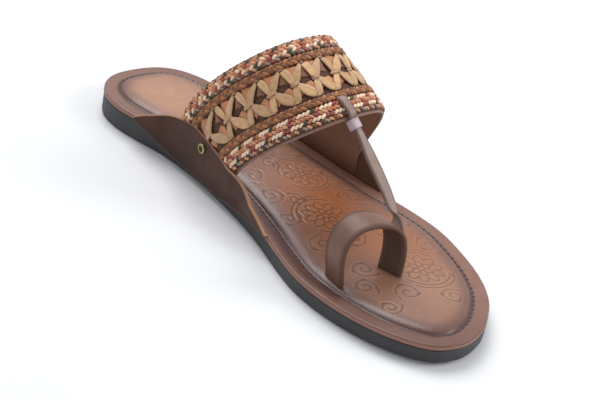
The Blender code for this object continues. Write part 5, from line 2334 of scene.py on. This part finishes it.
    def build_keeper(self, material: Finish) -> None:
        """The small wrap round the strap's two layers.

        Args:
            material: Finish of the piece.
        """
        edge = BAND.base(np.array([self.across]), 0.0)[0]
        back = unit(BAND.base(np.array([self.across]), 1.0)[0] - edge)
        normal = BAND.axes(np.array([self.across]), 0.0)[2][0]
        first = np.array(self.run[0]) * MM + np.array([SHIFT_X, 0, 0])
        down = unit(first - edge)
        wide = unit(np.cross(normal, back))
        wide = unit(wide - down * (wide @ down))
        lift = np.cross(down, wide)
        half_w, half_h = (self.widths[1] / 2 + 0.6) * MM, (self.strap_wall + 1.0) * MM
        angle = np.linspace(0, 2 * math.pi, 40, endpoint=False)
        sx = np.sign(np.cos(angle)) * np.abs(np.cos(angle)) ** 0.45
        sz = np.sign(np.sin(angle)) * np.abs(np.sin(angle)) ** 0.55
        rings, edges = [], []
        start = edge + down * (self.near - 0.2) * MM
        for share, grow in ((0.0, -0.25), (0.02, -0.05), (0.08, 0.1), (0.3, 0.16), (0.5, 0.1),
                            (0.7, 0.17), (0.92, 0.1), (0.98, -0.05), (1.0, -0.25)):
            centre = start + down * self.keeper * MM * share
            rings.append(centre + wide * (sx * (half_w + grow * MM))[:, None]
                         + lift * (sz * (half_h + grow * MM))[:, None])
            edges.append(np.full(len(angle), float(share in (0.0, 0.02, 0.98, 1.0))))
        for share, shrink in ((1.0, 0.55), (0.5, 0.62), (0.0, 0.55)):
            centre = start + down * self.keeper * MM * share
            rings.append(centre + wide * (sx * (half_w - shrink * MM))[:, None]
                         + lift * (sz * (half_h - shrink * MM))[:, None])
            edges.append(np.ones(len(angle)) * 0.5)
        rings.append(rings[0])
        count = len(angle)
        points = np.concatenate(rings[:-1])
        faces = ring_faces(len(rings) - 1, count, 0, False)
        last = (len(rings) - 2) * count
        faces += [(last + i, last + (i + 1) % count, (i + 1) % count, i) for i in range(count)]
        obj = mesh_piece("keeper_wrap", points, faces, {"edge": np.concatenate(edges[:len(rings) - 1]),
                                                        "face": np.ones(len(points))})
        dress(obj, material, "keeper_leather", "strap_keeper")

    def build(self) -> None:
        """Build and dress the straps."""
        loop = LeatherFinish("loop_taupe", srgb(124, 95, 82), srgb(94, 68, 57),
                             srgb(92, 66, 54), srgb(80, 58, 49), gloss=0.44,
                             coat=0.12).material()
        strap = LeatherFinish("strap_taupe", srgb(156, 134, 125), srgb(126, 105, 97),
                              srgb(112, 88, 80), srgb(146, 124, 116), gloss=0.45,
                              coat=0.15).material()
        wrap = LeatherFinish("keeper_gloss", srgb(184, 164, 168), srgb(150, 128, 136),
                             srgb(116, 90, 92), srgb(96, 76, 80), gloss=0.30,
                             coat=0.5).material()
        self.build_loop(loop)
        self.build_strap(strap)
        self.build_keeper(wrap)


@dataclass
class Hardware:
    """The carried-over solids, and the rings on the rivets' heads."""

    nodes: dict
    share: float = 0.372
    height: float = 21.5 * MM
    profile: tuple = ((0.0, 0.15), (2.5, 0.15), (2.68, 0.45), (2.55, 0.80), (2.20, 1.02),
                      (1.80, 1.02), (1.50, 0.92), (1.32, 0.86), (0.60, 0.87), (0.0, 0.88))

    def ring(self, side: Side) -> Piece:
        """The raised ring of one rivet's head, turned round its axis.

        Args:
            side: Which side.

        Returns:
            The ring's mesh object.
        """
        share = np.array([self.share])
        out = flap_out(share, np.array([self.height])) + FLAPS.wall
        flat = SOLE.wall_point(share, side, out)[0]
        flare = SOLE.wall_point(share, side, out + 1.0 * MM)[0] - flat
        axis = unit(np.array([*unit(flare), -0.05]))
        run = unit(np.cross((0.0, 0.0, 1.0), axis))
        up = np.cross(axis, run)
        angle = np.linspace(0, 2 * math.pi, 32, endpoint=False)
        centre = np.array([*flat, self.height])
        points, shade = [centre + axis * self.profile[0][1] * MM], [0.0]
        for radius, rise in self.profile[1:-1]:
            points.extend(centre + axis * rise * MM + radius * MM
                          * (run * math.cos(a) + up * math.sin(a)) for a in angle)
            shade.extend([float(radius < 1.6)] * len(angle))
        points.append(centre + axis * self.profile[-1][1] * MM)
        shade.append(1.0)
        rings, count = len(self.profile) - 2, len(angle)
        faces = ring_faces(rings, count, 1, False)
        last = 1 + (rings - 1) * count
        for k in range(count):
            faces.append((0, 1 + k, 1 + (k + 1) % count))
            faces.append((len(points) - 1, last + (k + 1) % count, last + k))
        name = "rivet_ring_medial" if side is Side.MEDIAL else "rivet_ring_lateral"
        return mesh_piece(name, np.array(points), faces, {"shade": np.array(shade)})

    def build(self) -> None:
        """Give the solids their finishes and add the rings."""
        rubber = RubberFinish("sole_rubber", srgb(46, 46, 47), srgb(88, 88, 90)).material()
        brass = BrassFinish("rivet_brass_dull").material()
        for name, material in (("outsole", rubber), ("rivet_medial", brass),
                               ("rivet_lateral", brass)):
            mesh = self.nodes[name].data
            mesh.materials.clear()
            mesh.materials.append(material)
            LOG.info("%s: solid kept", name)
        for side in Side:
            dress(self.ring(side), brass, "rivet_brass")


@dataclass
class Studio:
    """Pale floor, soft light and the camera at the photograph's angle."""

    centre: tuple = (-0.44533, -0.43012, 0.34891)
    aim: tuple = (-0.02853, -0.03343, 0.03)
    roll: float = 12.49
    view_degrees: float = 23.0

    def build(self) -> None:
        """Add everything round the shoe."""
        bpy.context.scene.view_settings.view_transform = "Standard"
        self.add_floor()
        self.add_lights()
        self.add_camera()

    def add_floor(self) -> None:
        """A wide pale floor."""
        bpy.ops.mesh.primitive_plane_add(size=12.0)
        floor = bpy.context.object
        floor.name = "floor"
        material, graph, shader = new_material("studio_floor")
        soft = graph.noise(graph.place(), 3.0, 2.0)
        colour = graph.mix(soft, srgb(218, 219, 222), srgb(226, 227, 230))
        graph.feed(shader.inputs["Base Color"], colour)
        shader.inputs["Roughness"].default_value = 0.7
        floor.data.materials.append(material)

    def add_area(self, name: str, spot: tuple, aim: tuple, size: float, power: float,
                 colour: Colour = (1.0, 1.0, 1.0)) -> None:
        """A square area light aimed at a point.

        Args:
            name: Name of the light.
            spot: Place of the light.
            aim: Point that it faces.
            size: Side of the square.
            power: Power in watts.
            colour: Colour of the light.
        """
        light = bpy.data.lights.new(name, "AREA")
        light.size = size
        light.energy = power
        light.color = colour
        obj = bpy.data.objects.new(name, light)
        obj.location = spot
        obj.rotation_mode = "QUATERNION"
        obj.rotation_quaternion = (Vector(aim) - Vector(spot)).to_track_quat("-Z", "Y")
        bpy.context.scene.collection.objects.link(obj)

    def add_lights(self) -> None:
        """A bright white surround and three soft boxes."""
        world = bpy.data.worlds.new("studio")
        bpy.context.scene.world = world
        world.use_nodes = True
        shade = world.node_tree.nodes["Background"]
        shade.inputs["Color"].default_value = (0.95, 0.97, 1.0, 1.0)
        shade.inputs["Strength"].default_value = 0.58
        self.add_area("key_light", (0.15, 0.65, 1.2), (0.0, 0.0, 0.0), 0.9, 15.0)
        self.add_area("side_light", (0.9, -0.8, 0.8), (0.0, 0.0, 0.02), 0.6, 8.0)
        self.add_area("front_light", (-0.9, -0.9, 0.9), (0.0, 0.0, 0.03), 0.5, 2.0)

    def add_camera(self) -> None:
        """The camera, rolled as in the photograph."""
        data = bpy.data.cameras.new("camera")
        data.sensor_width = 36.0
        data.lens = 18.0 / math.tan(math.radians(self.view_degrees / 2))
        data.clip_start = 0.01
        camera = bpy.data.objects.new("camera", data)
        look = (Vector(self.aim) - Vector(self.centre)).to_track_quat("-Z", "Y")
        turn = look @ Quaternion((0.0, 0.0, 1.0), math.radians(self.roll))
        camera.matrix_world = Matrix.LocRotScale(Vector(self.centre), turn, None)
        bpy.context.scene.collection.objects.link(camera)
        bpy.context.scene.camera = camera


def main() -> None:
    """Build every piece."""
    logging.basicConfig(level=logging.INFO, format="%(name)s %(message)s")
    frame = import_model()
    Effects.build()
    units = Units()
    scatter, cords = ScatterTool(), CordTool()
    Hardware(frame["nodes"]).build()
    Footbed(units, scatter).build()
    SideFlaps(FLAPS).build()
    WovenBand(units, scatter, cords).build()
    ToeStraps().build()
    units.clear()
    Studio().build()


if __name__ == "__main__":
    main()
